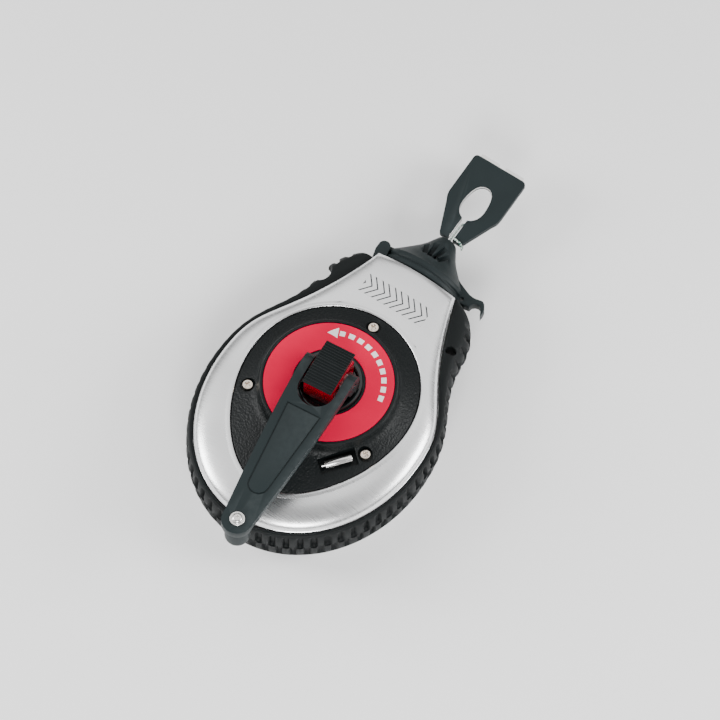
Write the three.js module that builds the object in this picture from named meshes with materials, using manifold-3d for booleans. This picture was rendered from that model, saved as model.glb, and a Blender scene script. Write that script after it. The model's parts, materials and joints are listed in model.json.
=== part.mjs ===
// A geared chalk line reel: an oval aluminium case with a rubber guard, a fold-out crank that drives the
// spool through planet gears, a filling lid with the line nozzle, and a flat end hook on the line.
// Millimetres. The origin is on the crank's axis at the back face. +X is right, +Y points to the nozzle
// and +Z comes out of the front.

import * as THREE from "three";
import { LoftGeometry } from "three/addons/geometries/LoftGeometry.js";
import { mergeVertices } from "three/addons/utils/BufferGeometryUtils.js";
import Module from "manifold-3d";

// Clearances
const SEAT_GAP = 0.3;
const RUN_GAP = 0.3;
const SKIN_GAP = 0.8;

// Case outline and depth
const BODY = {
  halfWidth: 61.3,
  bellyDrop: 72.8,
  bellyY: -11,
  neckEndY: 84.2,
  neckHalfWidth: 23.9,
  neckCrown: 5.6,
  midZ: 21.5,
  edgeHeight: 10.5,
  faceHeight: 19.5,
};
const FRONT_Z = BODY.midZ + BODY.faceHeight;
const SHELL_WALL = 1.2;
const SHELL_FOOT = 3;
const CASE_WALL = 2;
const FRONT_WALL = 2;
const BACK_WALL = 2.5;
const GUARD = {
  reach: 3.8,
  lip: 1.1,
  padHalfWidth: BODY.neckHalfWidth + 20.7,
  padFootY: BODY.neckEndY - 24.2,
  holeInset: 6,
  holeDrop: 2.2,
  holeR: 2.6,
  notchInset: 1.4,
  notchRise: 0.2,
  notchR: 4.4,
  notchStretch: 1.35,
};

// Cover plate and label
const LABEL = { innerR: 19.4, outerR: 34.5, thick: 0.5 };
const COVER = {
  halfWidth: LABEL.outerR + 12.6,
  bottomY: -LABEL.outerR - 31.4,
  topY: LABEL.outerR + 15,
  edgeZ: FRONT_Z,
  wall: 2.6,
};
const BOSS = {
  rimR: LABEL.outerR + 1.9,
  slopeR: LABEL.outerR + 7,
  slopeZ: FRONT_Z + 2.4,
  footZ: FRONT_Z + 5.2,
  topZ: FRONT_Z + 10.6,
  labelDrop: 0.9,
};
const COVER_SCREW = {
  circleR: LABEL.outerR + 8.1,
  headR: 2.65,
  headTopZ: FRONT_Z + 2.4,
  headThick: 2.2,
  shankR: 1.45,
  tipZ: FRONT_Z - 9,
};
const COVER_SCREW_TURNS = [90, 210, 330];
const POCKET_R = 4;
const LOCK_BAR = {
  circleR: LABEL.outerR + 8,
  turn: 50,
  r: 2.25,
  length: 14.6,
  axisZ: FRONT_Z + 1.9,
  journalR: 0.9,
  journal: 2,
};
const CRADLE = { length: 20.5, width: 8.4, floorZ: FRONT_Z - 0.7, endWall: 1.6 };

// Gear train, drawn as slim trapezoid teeth
const GEAR = {
  module: 1,
  ring: 48,
  planet: 18,
  sun: 12,
  bottomZ: FRONT_Z - 2.8,
  topZ: FRONT_Z + 4,
  backlash: 0.32,
  ringOuterR: LABEL.outerR - 2.9,
};
const PLANETS = 3;
const PLANET_PIN_R = 2;
const AXLE_R = 3;
const SPOOL = { flangeR: 36, flange: 1.8, hubR: 12, windingR: 26, bottomZ: BACK_WALL + 4.1, topZ: FRONT_Z - 7.6 };
const SUN_SLEEVE_R = 4.5;

// Crank
const CRANK_REST = THREE.MathUtils.degToRad(4.4);
const HUB = {
  carrierR: 20.5,
  carrierBottomZ: FRONT_Z + 4.5,
  carrierTopZ: FRONT_Z + 6.9,
  r: 17.8,
  rimTopZ: FRONT_Z + 12.2,
  rimWall: 2.5,
  floorZ: FRONT_Z + 8.4,
};
const HINGE = { z: FRONT_Z + 19.5, pinR: 1.7, knuckleR: 5.8 };
const BLOCK = { halfWidth: 8.75, halfLength: 11.5, topZ: HINGE.z + 7.1 };
const ARM = {
  radius: 99.3,
  bottomZ: HINGE.z + 1.1,
  topZ: HINGE.z + 6.1,
  forkHalf: 10.25,
  prong: 5.05,
  notchV: 13,
  tipR: 8.5,
  bow: 35,
};
const ARM_GROOVE = { depth: 0.6, width: 0.9, startV: 27, endV: 76, startHalf: 9.6, endHalf: 5.6 };
const SLIDER = {
  halfWidth: 8.5,
  halfLength: 13.5,
  bottomZ: BLOCK.topZ + SEAT_GAP,
  topZ: BLOCK.topZ + 3,
  crown: 1.4,
  ribs: 17,
  ribDepth: 0.5,
};
const SLIDER_FOOT = { halfWidth: 3, halfLength: 5, depth: 3, travel: 3 };
const KNOB = { r: 6.85, neckR: 6.1, bottomZ: ARM.bottomZ - 15, bore: 3.3 };
const KNOB_SCREW = { headR: 4.1, headThick: 1.7, shankR: 3, hexR: 1.7, hexDepth: 1.1, endR: 4.4, endThick: 1 };

// Back of the case
const CASE_SCREWS = [
  [27, 31],
  [-27, 31],
  [-20, -48],
  [20, -48],
];
const CASE_SCREW = { headR: 3, headThick: 2.2, headDrop: 0.6, shankR: 1.45, tipZ: FRONT_Z - 13 };
const PILLAR = { r: 4.8, splitZ: 12 };
const SCREW_BOSS_WALL = 2;

// Neck, lid and nozzle
const MOUTH = {
  halfWidth: BODY.neckHalfWidth - 4.6,
  halfDepth: BODY.edgeHeight + 2.4,
  fromY: BODY.neckEndY - 10.8,
};
const PLUG = { wall: 2, endY: BODY.neckEndY - 5.3, leadIn: 0.8 };
const LID = {
  baseY: BODY.neckEndY + 1.1,
  tipY: BODY.neckEndY + 29.6,
  tipR: 5.5,
  bandHalfWidth: BODY.neckHalfWidth,
  bandHalfDepth: BODY.edgeHeight + BODY.neckCrown,
};
const EYELET = { outerR: 3, innerR: 1.5, length: 6 };
const LID_HINGE = {
  x: -BODY.neckHalfWidth - 0.6,
  y: BODY.neckEndY + 6.1,
  r: 3.3,
  pinR: 1.3,
  halfHeight: 9,
  halfKnuckle: 4.5,
  cap: 1.5,
};
const LATCH = { halfDepth: 3, holeR: 1.2, holeX: 0.7, holeY: 5.2 };
const WIPER = { halfWidth: 8, halfDepth: 6, y: LID.baseY + 10, thick: 3 };

// Line and end hook
const LINE_R = 0.6;
const LINE_SIDES = 8;
const HOOK = {
  bottomY: LID.tipY + 1.9,
  length: 49,
  halfWidth: 15.9,
  thick: 3.2,
  coreThick: 1.2,
  coreInset: 1.6,
  cornerR: 2.6,
};
const HOOK_TOP_Y = HOOK.bottomY + HOOK.length;
const KEYHOLE = { slitHalf: 1.5, slitLength: 13.9, halfWidth: 6.7, widestAt: 22.8, length: 35.7 };
const CLAW = { inner: 2, outer: 13, reach: 2, drop: 6.5 };

const ROUND = 30;
const SMALL_ROUND = 14;
const LID_ROUND = 24;

const wasm = await Module();
wasm.setup();

const reel = new THREE.Group();
const crank = new THREE.Group();
crank.rotation.z = CRANK_REST;
reel.add(crank);

// ---------- solids ----------

function solidOf(geometry) {
  const bare = new THREE.BufferGeometry();
  bare.setAttribute("position", geometry.attributes.position);
  bare.setIndex(geometry.index);
  const merged = mergeVertices(bare, 1e-4);
  const mesh = new wasm.Mesh({
    numProp: 3,
    vertProperties: new Float32Array(merged.attributes.position.array),
    triVerts: new Uint32Array(merged.index.array),
  });
  return new wasm.Manifold(mesh);
}

function geometryOf(solid) {
  const mesh = solid.getMesh();
  const geometry = new THREE.BufferGeometry();
  geometry.setAttribute("position", new THREE.BufferAttribute(mesh.vertProperties, 3));
  geometry.setIndex(new THREE.BufferAttribute(mesh.triVerts, 1));
  geometry.computeVertexNormals();
  return geometry;
}

function addPiece(name, solid, material, parent = reel) {
  const mesh = new THREE.Mesh(geometryOf(solid), material.clone());
  mesh.name = name;
  parent.add(mesh);
  return mesh;
}

function surface(color, roughness, metalness) {
  return new THREE.MeshStandardMaterial({ color, roughness, metalness });
}

function box(x0, x1, y0, y1, z0, z1) {
  const geometry = new THREE.BoxGeometry(x1 - x0, y1 - y0, z1 - z0);
  geometry.translate((x0 + x1) / 2, (y0 + y1) / 2, (z0 + z1) / 2);
  return solidOf(geometry);
}

function cylinderZ(radius, z0, z1, segments = SMALL_ROUND, x = 0, y = 0) {
  const geometry = new THREE.CylinderGeometry(radius, radius, z1 - z0, segments);
  geometry.rotateX(Math.PI / 2);
  geometry.translate(x, y, (z0 + z1) / 2);
  return solidOf(geometry);
}

function cylinderX(radius, x0, x1, y, z, segments = SMALL_ROUND) {
  const geometry = new THREE.CylinderGeometry(radius, radius, x1 - x0, segments);
  geometry.rotateZ(Math.PI / 2);
  geometry.translate((x0 + x1) / 2, y, z);
  return solidOf(geometry);
}

function ovalY(halfWidth, halfDepth, y0, y1, segments = LID_ROUND) {
  const geometry = new THREE.CylinderGeometry(1, 1, y1 - y0, segments);
  geometry.scale(halfWidth, 1, halfDepth);
  geometry.translate(0, (y0 + y1) / 2, BODY.midZ);
  return solidOf(geometry);
}

// profile: [radius, z] corners in anticlockwise order
function turned(profile, segments = ROUND, closed = true) {
  const points = profile.map(([r, z]) => new THREE.Vector2(r, z));
  if (closed) points.push(points[0].clone());
  const geometry = new THREE.LatheGeometry(points, segments);
  geometry.rotateX(Math.PI / 2);
  return solidOf(geometry);
}

function extrudeZ(shape, z0, z1, curveSegments = 8) {
  const geometry = new THREE.ExtrudeGeometry(shape, { depth: z1 - z0, bevelEnabled: false, curveSegments });
  geometry.translate(0, 0, z0);
  return solidOf(geometry);
}

// shape drawn in (y, z), extruded along X
function extrudeX(shape, x0, x1, curveSegments = 8) {
  const geometry = new THREE.ExtrudeGeometry(shape, { depth: x1 - x0, bevelEnabled: false, curveSegments });
  geometry.translate(0, 0, x0);
  const turn = new THREE.Matrix4().makeBasis(
    new THREE.Vector3(0, 1, 0),
    new THREE.Vector3(0, 0, 1),
    new THREE.Vector3(1, 0, 0),
  );
  geometry.applyMatrix4(turn);
  return solidOf(geometry);
}

// sections: rings of points, each with the same count; the last section joins the first when closed
function loft(sections, closed) {
  const rows = closed ? [...sections, sections[0]] : sections;
  return solidOf(new LoftGeometry(rows, { capStart: !closed, capEnd: !closed }));
}

function shapeFrom(points) {
  return new THREE.Shape(points.map(([x, y]) => new THREE.Vector2(x, y)));
}

function tubeAlong(points, radius, steps) {
  const path = new THREE.CatmullRomCurve3(points.map((p) => new THREE.Vector3(...p)));
  const section = new THREE.Shape();
  for (let i = 0; i < LINE_SIDES; i += 1) {
    const angle = (2 * Math.PI * i) / LINE_SIDES;
    const corner = [radius * Math.cos(angle), radius * Math.sin(angle)];
    if (i === 0) section.moveTo(...corner);
    else section.lineTo(...corner);
  }
  section.closePath();
  return solidOf(new THREE.ExtrudeGeometry(section, { steps, extrudePath: path, bevelEnabled: false }));
}

// ---------- outlines of the case ----------

// Each right-hand half outline runs from the bottom to the top centre in three stretches.
const STRETCH_STEPS = [8, 8, 3];

// A path's getPoint already measures along its length, and a single curve's getPointAt does.
function pointAlong(curve, share) {
  return curve instanceof THREE.CurvePath ? curve.getPoint(share) : curve.getPointAt(share);
}

function fullOutline(stretches) {
  const right = [];
  stretches.forEach((curve, s) => {
    for (let i = 0; i < STRETCH_STEPS[s]; i += 1) right.push(pointAlong(curve, i / STRETCH_STEPS[s]));
  });
  right.push(pointAlong(stretches[2], 1));
  const left = right.slice(1, -1).reverse();
  return [...right, ...left.map((p) => new THREE.Vector2(-p.x, p.y))];
}

function bodyStretches() {
  const { halfWidth, bellyDrop, bellyY, neckEndY, neckHalfWidth } = BODY;
  const belly = new THREE.EllipseCurve(0, bellyY, halfWidth, bellyDrop, -Math.PI / 2, 0);
  const flank = new THREE.CubicBezierCurve(
    new THREE.Vector2(halfWidth, bellyY),
    new THREE.Vector2(halfWidth, bellyY + 40.7),
    new THREE.Vector2(neckHalfWidth + 22.3, neckEndY - 65.7),
    new THREE.Vector2(neckHalfWidth, neckEndY),
  );
  const neckEnd = new THREE.LineCurve(new THREE.Vector2(neckHalfWidth, neckEndY), new THREE.Vector2(0, neckEndY));
  return [belly, flank, neckEnd];
}

function coverStretches() {
  const { halfWidth, bottomY, topY } = COVER;
  const shoulder = Math.atan2(BODY.neckEndY, BODY.neckHalfWidth);
  const belly = new THREE.CubicBezierCurve(
    new THREE.Vector2(0, bottomY),
    new THREE.Vector2(22, bottomY),
    new THREE.Vector2(halfWidth, bottomY + 34),
    new THREE.Vector2(halfWidth, 0),
  );
  const flank = new THREE.EllipseCurve(0, 0, halfWidth, topY, 0, shoulder);
  const top = new THREE.EllipseCurve(0, 0, halfWidth, topY, shoulder, Math.PI / 2);
  return [belly, flank, top];
}

function guardStretches() {
  const { reach, padHalfWidth, padFootY } = GUARD;
  const { halfWidth, bellyDrop, bellyY, neckEndY, neckHalfWidth } = BODY;
  const wide = halfWidth + reach;
  const belly = new THREE.EllipseCurve(0, bellyY, wide, bellyDrop + reach, -Math.PI / 2, 0);
  const flank = new THREE.CurvePath();
  const padSide = new THREE.Vector2(padHalfWidth, padFootY);
  const neckCorner = new THREE.Vector2(neckHalfWidth + 1.6, neckEndY + 0.8);
  flank.add(
    new THREE.CubicBezierCurve(
      new THREE.Vector2(wide, bellyY),
      new THREE.Vector2(wide, bellyY + 39.5),
      new THREE.Vector2(padHalfWidth + 2.2, padFootY - 29),
      padSide,
    ),
  );
  flank.add(
    new THREE.CubicBezierCurve(
      padSide,
      new THREE.Vector2(padHalfWidth - 1, padFootY + 13.5),
      new THREE.Vector2(neckCorner.x + 9.9, neckCorner.y - 1.5),
      neckCorner,
    ),
  );
  const neckEnd = new THREE.LineCurve(neckCorner, new THREE.Vector2(0, neckCorner.y));
  return [belly, flank, neckEnd];
}

const BODY_LINE = fullOutline(bodyStretches());
const COVER_LINE = fullOutline(coverStretches());
const GUARD_LINE = fullOutline(guardStretches());

function inwardNormals(line) {
  return line.map((_, i) => {
    const before = line[(i + line.length - 1) % line.length];
    const after = line[(i + 1) % line.length];
    const along = after.clone().sub(before).normalize();
    return new THREE.Vector2(-along.y, along.x);
  });
}

const BODY_INWARD = inwardNormals(BODY_LINE);
const COVER_INWARD = inwardNormals(COVER_LINE);

// How far the neck's end rises above the case's edge at each point of the outline
const CROWN = BODY_LINE.map((p) => {
  if (p.y < BODY.neckEndY - 0.01) return 0;
  return BODY.neckCrown * (1 - (p.x / BODY.neckHalfWidth) ** 2);
});

function crownedHeight(height, crown) {
  const { edgeHeight, faceHeight } = BODY;
  if (height <= edgeHeight) return height * (1 + crown / edgeHeight);
  return height + (crown * Math.max(0, faceHeight - height)) / (faceHeight - edgeHeight);
}

// A section between the case's edge (mix 0) and the cover's edge (mix 1), set in by inset and sunk by drop.
function skinSection(side, mix, height, inset = 0, drop = 0) {
  return BODY_LINE.map((edge, i) => {
    const point = edge.clone().lerp(COVER_LINE[i], mix).addScaledVector(BODY_INWARD[i], inset);
    return new THREE.Vector3(point.x, point.y, BODY.midZ + side * (crownedHeight(height, CROWN[i]) - drop));
  });
}

function coverSection(z, inset = 0) {
  return COVER_LINE.map((edge, i) => {
    const point = edge.clone().addScaledVector(COVER_INWARD[i], inset);
    return new THREE.Vector3(point.x, point.y, z);
  });
}

// A circle whose points lie in the same directions as those of the cover's edge
function circleSection(radius, z) {
  return COVER_LINE.map((edge) => {
    const point = edge.clone().setLength(radius);
    return new THREE.Vector3(point.x, point.y, z);
  });
}

// Stations up the rounded shoulder: how far towards the cover, and how far up from the edge to the face
const SHOULDER = [
  [0, 0],
  [0.06, 0.433],
  [0.26, 0.711],
  [0.56, 0.9],
  [0.86, 0.978],
].map(([mix, rise]) => [mix, BODY.edgeHeight + rise * (BODY.faceHeight - BODY.edgeHeight)]);

const INNER_SHOULDER = [SHOULDER[0], SHOULDER[2], SHOULDER[4]];

function shoulderSections(side, depth, steps = SHOULDER) {
  return steps.map(([mix, height], i) => {
    const lean = (Math.PI / 2) * (i / (steps.length - 1));
    return skinSection(side, mix, height, depth * Math.cos(lean), depth * Math.sin(lean));
  });
}

// The front half is built upwards and the back half downwards, so its sections run the other way.
function facing(side, sections) {
  return side > 0 ? sections : [...sections].reverse();
}

function mirrorZ(z) {
  return 2 * BODY.midZ - z;
}

function sideZ(side, z) {
  return side > 0 ? z : mirrorZ(z);
}

// ---------- shells, guard and case halves ----------

const NECK_GAP_WALL = 1.3;

function shell(side) {
  const lipZ = sideZ(side, COVER.edgeZ + 0.4);
  const sections = [
    skinSection(side, 0, SHELL_FOOT),
    ...shoulderSections(side, 0),
    coverSection(lipZ, -1.3),
    coverSection(sideZ(side, COVER.edgeZ - 0.4), -SEAT_GAP),
    coverSection(sideZ(side, COVER.edgeZ - 1.5), -SEAT_GAP),
    ...shoulderSections(side, SHELL_WALL).reverse(),
    skinSection(side, 0, SHELL_FOOT, SHELL_WALL),
  ];
  const neckHole = ovalY(
    MOUTH.halfWidth + NECK_GAP_WALL,
    MOUTH.halfDepth + NECK_GAP_WALL,
    MOUTH.fromY,
    BODY.neckEndY + 5,
  );
  return loft(facing(side, sections), true).subtract(neckHole).subtract(hingeBracketRoom(side));
}

function guardSection(side, height, mix, lift = 0) {
  return BODY_LINE.map((edge, i) => {
    const inner = edge.clone().addScaledVector(BODY_INWARD[i], -SEAT_GAP);
    const point = inner.lerp(GUARD_LINE[i], mix);
    return new THREE.Vector3(point.x, point.y, BODY.midZ + side * (height + lift));
  });
}

// The notch that opens out of the guard's left pad
function guardNotch() {
  const { padHalfWidth, padFootY, notchInset, notchRise, notchR, notchStretch } = GUARD;
  const place = [notchInset - padHalfWidth, padFootY + notchRise, 0];
  return cylinderZ(notchR, 0, mirrorZ(0), 24, 0, 0).scale([1, notchStretch, 1]).translate(place);
}

function guard(side) {
  const { lip, padHalfWidth, padFootY, holeInset, holeDrop, holeR } = GUARD;
  const halfDepth = BODY.edgeHeight;
  const halfGap = SEAT_GAP / 2;
  const sections = [
    guardSection(side, halfGap, 0),
    guardSection(side, halfGap, 1),
    guardSection(side, halfDepth - 3, 0.92),
    guardSection(side, halfDepth - 0.6, 0.76),
    guardSection(side, halfDepth, 0.5, lip * 0.4),
    guardSection(side, halfDepth, 0, lip * 0.2),
  ];
  const neckCut = box(
    -BODY.neckHalfWidth - SEAT_GAP,
    BODY.neckHalfWidth + SEAT_GAP,
    BODY.neckEndY - 6,
    BODY.neckEndY + 6,
    0,
    mirrorZ(0),
  );
  const hole = cylinderZ(holeR, 0, mirrorZ(0), 14, padHalfWidth - holeInset, padFootY - holeDrop);
  const solid = loft(facing(side, sections), true).subtract(neckCut).subtract(hole);
  return solid.subtract(guardNotch()).subtract(hingeBracketRoom(side));
}

function screwBoss(x, y, z0, z1, shankR) {
  return cylinderZ(shankR + RUN_GAP + SCREW_BOSS_WALL, z0, z1, SMALL_ROUND, x, y);
}

function polar(radius, degrees) {
  const angle = THREE.MathUtils.degToRad(degrees);
  return [radius * Math.cos(angle), radius * Math.sin(angle)];
}

const FRONT_FLOOR_Z = GEAR.bottomZ - SEAT_GAP;
const CASE_DEPTH = SHELL_WALL + SKIN_GAP;

function neckMouth() {
  return ovalY(MOUTH.halfWidth, MOUTH.halfDepth, MOUTH.fromY, BODY.neckEndY + 5);
}

function frontCase() {
  const side = 1;
  const half = SEAT_GAP / 2;
  const inner = CASE_DEPTH + CASE_WALL;
  const ceilingZ = FRONT_FLOOR_Z - FRONT_WALL;
  const sections = [
    skinSection(side, 0, half, CASE_DEPTH),
    ...shoulderSections(side, CASE_DEPTH),
    coverSection(FRONT_FLOOR_Z + 1, -1.5),
    coverSection(FRONT_FLOOR_Z, -1.2),
    circleSection(SUN_SLEEVE_R + RUN_GAP, FRONT_FLOOR_Z),
    circleSection(SUN_SLEEVE_R + RUN_GAP, ceilingZ),
    coverSection(ceilingZ, 1.5),
    ...shoulderSections(side, inner, INNER_SHOULDER).reverse(),
    skinSection(side, 0, half, inner),
  ];
  let solid = loft(sections, true).subtract(neckMouth());
  for (const turn of COVER_SCREW_TURNS) {
    const [x, y] = polar(COVER_SCREW.circleR, turn);
    solid = solid.add(screwBoss(x, y, COVER_SCREW.tipZ - 1.5, FRONT_FLOOR_Z - 0.4, COVER_SCREW.shankR));
    solid = solid.subtract(
      cylinderZ(COVER_SCREW.shankR + RUN_GAP, COVER_SCREW.tipZ - SEAT_GAP, FRONT_FLOOR_Z + 2, 12, x, y),
    );
  }
  for (const [x, y] of CASE_SCREWS) {
    solid = solid.add(screwBoss(x, y, PILLAR.splitZ + SEAT_GAP, ceilingZ + 1, CASE_SCREW.shankR));
    solid = solid.subtract(
      cylinderZ(CASE_SCREW.shankR + RUN_GAP, PILLAR.splitZ, CASE_SCREW.tipZ + SEAT_GAP, 12, x, y),
    );
  }
  return solid.add(hingeBracket(side)).subtract(lidHingeBore());
}

function backCase() {
  const side = -1;
  const half = SEAT_GAP / 2;
  const inner = CASE_DEPTH + CASE_WALL;
  const stepZ = mirrorZ(COVER.edgeZ - 1.5 - SEAT_GAP - SHELL_WALL / 2);
  const sections = [
    skinSection(side, 0, half, CASE_DEPTH),
    ...shoulderSections(side, CASE_DEPTH),
    coverSection(stepZ, -0.2),
    coverSection(0.6, 0.1),
    coverSection(0, 0.8),
    circleSection(0.001, 0),
    circleSection(0.001, BACK_WALL),
    coverSection(BACK_WALL, 3.2),
    ...shoulderSections(side, inner, INNER_SHOULDER).reverse(),
    skinSection(side, 0, half, inner),
  ];
  let solid = loft(facing(side, sections), true).subtract(neckMouth());
  const socketTop = SPOOL.bottomZ - 2 * RUN_GAP;
  solid = solid.add(cylinderZ(AXLE_R + 3, BACK_WALL - 0.5, socketTop));
  solid = solid.subtract(cylinderZ(AXLE_R + RUN_GAP, BACK_WALL, socketTop + 1));
  const { headR, headThick, headDrop, shankR } = CASE_SCREW;
  for (const [x, y] of CASE_SCREWS) {
    solid = solid.add(cylinderZ(PILLAR.r, BACK_WALL - 0.5, PILLAR.splitZ, 16, x, y));
    solid = solid.subtract(cylinderZ(headR + RUN_GAP, -1, headDrop + headThick + SEAT_GAP, 16, x, y));
    solid = solid.subtract(cylinderZ(shankR + RUN_GAP, 0, PILLAR.splitZ + 1, 12, x, y));
  }
  return solid.add(hingeBracket(side)).subtract(lidHingeBore());
}

// ---------- lid hinge ----------

function hingeBracketBody(side, grow) {
  const { x, y, r, halfHeight, halfKnuckle } = LID_HINGE;
  const low = halfKnuckle + SEAT_GAP - grow;
  const high = halfHeight + grow;
  const z0 = BODY.midZ + Math.min(side * low, side * high);
  const z1 = BODY.midZ + Math.max(side * low, side * high);
  const outline = new THREE.Shape();
  const rootY = BODY.neckEndY - 6;
  const rootX = -MOUTH.halfWidth - NECK_GAP_WALL;
  outline.moveTo(x - r - grow, y);
  outline.lineTo(x - r - grow, y - r);
  outline.lineTo(x - 1 - grow, rootY - grow);
  outline.lineTo(rootX + grow, rootY - grow);
  outline.lineTo(rootX + grow, y - r);
  outline.lineTo(x + r + grow, y - 1);
  outline.lineTo(x + r + grow, y);
  outline.absarc(x, y, r + grow, 0, Math.PI, false);
  return extrudeZ(outline, z0, z1, 8);
}

function hingeBracket(side) {
  return hingeBracketBody(side, 0);
}

function hingeBracketRoom(side) {
  return hingeBracketBody(side, SEAT_GAP);
}

// The bore is blind, so the front knuckle stays closed.
function lidHingeBore() {
  const { x, y, pinR, halfHeight, cap } = LID_HINGE;
  return cylinderZ(pinR + RUN_GAP, BODY.midZ - halfHeight - 1, BODY.midZ + halfHeight - cap, 16, x, y);
}

function lidHingePin() {
  const { x, y, pinR, halfHeight, cap } = LID_HINGE;
  return cylinderZ(pinR, BODY.midZ - halfHeight, BODY.midZ + halfHeight - cap - SEAT_GAP, 16, x, y);
}

// ---------- cover, label and screws ----------

function atLockBar(solid) {
  const [x, y] = polar(LOCK_BAR.circleR, LOCK_BAR.turn - 100);
  return solid.rotate([0, 0, LOCK_BAR.turn]).translate([x, y, 0]);
}

function coverPlate() {
  const { edgeZ, wall } = COVER;
  const { rimR, slopeR, slopeZ, footZ, topZ, labelDrop } = BOSS;
  const floorZ = topZ - labelDrop;
  const bottomZ = GEAR.bottomZ;
  const labelEdge = LABEL.outerR + SEAT_GAP;
  const holeR = HUB.r + RUN_GAP;
  const bayR = GEAR.ringOuterR + SEAT_GAP;
  const sections = [
    coverSection(bottomZ),
    coverSection(edgeZ - 0.7),
    coverSection(edgeZ, 0.7),
    circleSection(slopeR, slopeZ),
    circleSection(rimR + 1.3, footZ),
    circleSection(rimR, topZ - 0.6),
    circleSection(rimR - 0.6, topZ),
    circleSection(labelEdge, topZ),
    circleSection(labelEdge, floorZ),
    circleSection(holeR, floorZ),
    circleSection(holeR, floorZ - wall),
    circleSection(bayR - 1.2, floorZ - wall),
    circleSection(bayR, floorZ - wall - 1.4),
    circleSection(bayR, bottomZ),
  ];
  let solid = loft(sections, true);
  for (const turn of COVER_SCREW_TURNS) {
    const [x, y] = polar(COVER_SCREW.circleR, turn);
    const seatZ = COVER_SCREW.headTopZ - COVER_SCREW.headThick - SEAT_GAP;
    solid = solid.subtract(cylinderZ(POCKET_R, seatZ, topZ, 24, x, y));
    solid = solid.subtract(cylinderZ(COVER_SCREW.shankR + RUN_GAP, bottomZ - 1, topZ, 12, x, y));
  }
  const pocket = box(
    -CRADLE.length / 2,
    CRADLE.length / 2,
    -CRADLE.width / 2,
    CRADLE.width / 2,
    CRADLE.floorZ,
    BOSS.topZ,
  );
  const { endWall } = CRADLE;
  const cradle = box(
    LOCK_BAR.length / 2 + SEAT_GAP,
    LOCK_BAR.length / 2 + SEAT_GAP + endWall,
    -CRADLE.width / 2 - 0.1,
    CRADLE.width / 2 + 0.1,
    CRADLE.floorZ - 0.2,
    LOCK_BAR.axisZ,
  );
  return solid.subtract(atLockBar(pocket)).add(atLockBar(cradle));
}

function lockBar() {
  const { length, r, axisZ, journalR, journal } = LOCK_BAR;
  const bar = cylinderX(r, -length / 2, length / 2, 0, axisZ);
  return atLockBar(bar.add(cylinderX(journalR, -length / 2 - journal, -length / 2 + 1, 0, axisZ, 12)));
}

function labelRing() {
  const z0 = BOSS.topZ - BOSS.labelDrop + SEAT_GAP / 2;
  const { innerR, outerR, thick } = LABEL;
  return turned([
    [innerR, z0],
    [outerR, z0],
    [outerR, z0 + thick],
    [innerR, z0 + thick],
  ]);
}

// A screw along Z with its head at the end that direction points to
function crossScrew(x, y, headTop, direction, spec) {
  const { headR, headThick, shankR, tipZ } = spec;
  const headUnder = headTop - direction * headThick;
  const sorted = (a, b) => [Math.min(a, b), Math.max(a, b)];
  const head = cylinderZ(headR, ...sorted(headTop, headUnder), 24, x, y);
  const shank = cylinderZ(shankR, ...sorted(headUnder + direction * 0.5, tipZ), 12, x, y);
  const bladeHalf = 0.45;
  const reach = headR * 0.66;
  const slot = sorted(headTop + direction, headTop - direction * headThick * 0.55);
  const across = box(x - reach, x + reach, y - bladeHalf, y + bladeHalf, ...slot);
  const down = box(x - bladeHalf, x + bladeHalf, y - reach, y + reach, ...slot);
  return head.add(shank).subtract(across).subtract(down);
}

// ---------- gear train ----------

function toothCorners(count, phase, rootSign) {
  const { module: m, backlash } = GEAR;
  const pitchR = (m * count) / 2;
  const flankSlope = Math.tan(THREE.MathUtils.degToRad(20));
  const halfPitchTooth = (Math.PI * m) / 4 - backlash / 2;
  const addendum = 0.85 * m;
  const dedendum = 1.25 * m;
  const tipR = pitchR + rootSign * addendum;
  const rootR = pitchR - rootSign * dedendum;
  const halfTip = (halfPitchTooth - addendum * flankSlope) / tipR;
  const halfRoot = (halfPitchTooth + dedendum * flankSlope) / rootR;
  const corners = [];
  for (let i = 0; i < count; i += 1) {
    const centre = phase + (2 * Math.PI * i) / count;
    corners.push([rootR, centre - halfRoot], [tipR, centre - halfTip]);
    corners.push([tipR, centre + halfTip], [rootR, centre + halfRoot]);
  }
  return corners.map(([r, a]) => new THREE.Vector2(r * Math.cos(a), r * Math.sin(a)));
}

function ringGear() {
  const halfTooth = Math.PI / GEAR.ring;
  const shape = new THREE.Shape();
  shape.absarc(0, 0, GEAR.ringOuterR, 0, 2 * Math.PI, false);
  shape.holes.push(new THREE.Path(toothCorners(GEAR.ring, halfTooth, -1)));
  return extrudeZ(shape, GEAR.bottomZ, GEAR.topZ, 24);
}

const CARRIER_R = (GEAR.module * (GEAR.sun + GEAR.planet)) / 2;

// Local to the crank: centre direction of each planet
function planetTurn(index) {
  return Math.PI / 2 + (2 * Math.PI * index) / PLANETS;
}

function planetGear(index) {
  const turn = planetTurn(index);
  const rollBack = (GEAR.ring / GEAR.planet - 1) * (turn + CRANK_REST);
  const shape = new THREE.Shape(toothCorners(GEAR.planet, -rollBack - CRANK_REST, 1));
  const bore = new THREE.Path();
  bore.absarc(0, 0, PLANET_PIN_R + RUN_GAP, 0, 2 * Math.PI, true);
  shape.holes.push(bore);
  const solid = extrudeZ(shape, GEAR.bottomZ + RUN_GAP, GEAR.topZ, 8);
  return solid.translate([CARRIER_R * Math.cos(turn), CARRIER_R * Math.sin(turn), 0]);
}

function planetPin(index) {
  const turn = planetTurn(index);
  const topZ = HUB.carrierBottomZ + 3;
  const x = CARRIER_R * Math.cos(turn);
  const y = CARRIER_R * Math.sin(turn);
  return cylinderZ(PLANET_PIN_R, GEAR.bottomZ + RUN_GAP, topZ, 16, x, y);
}

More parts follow.
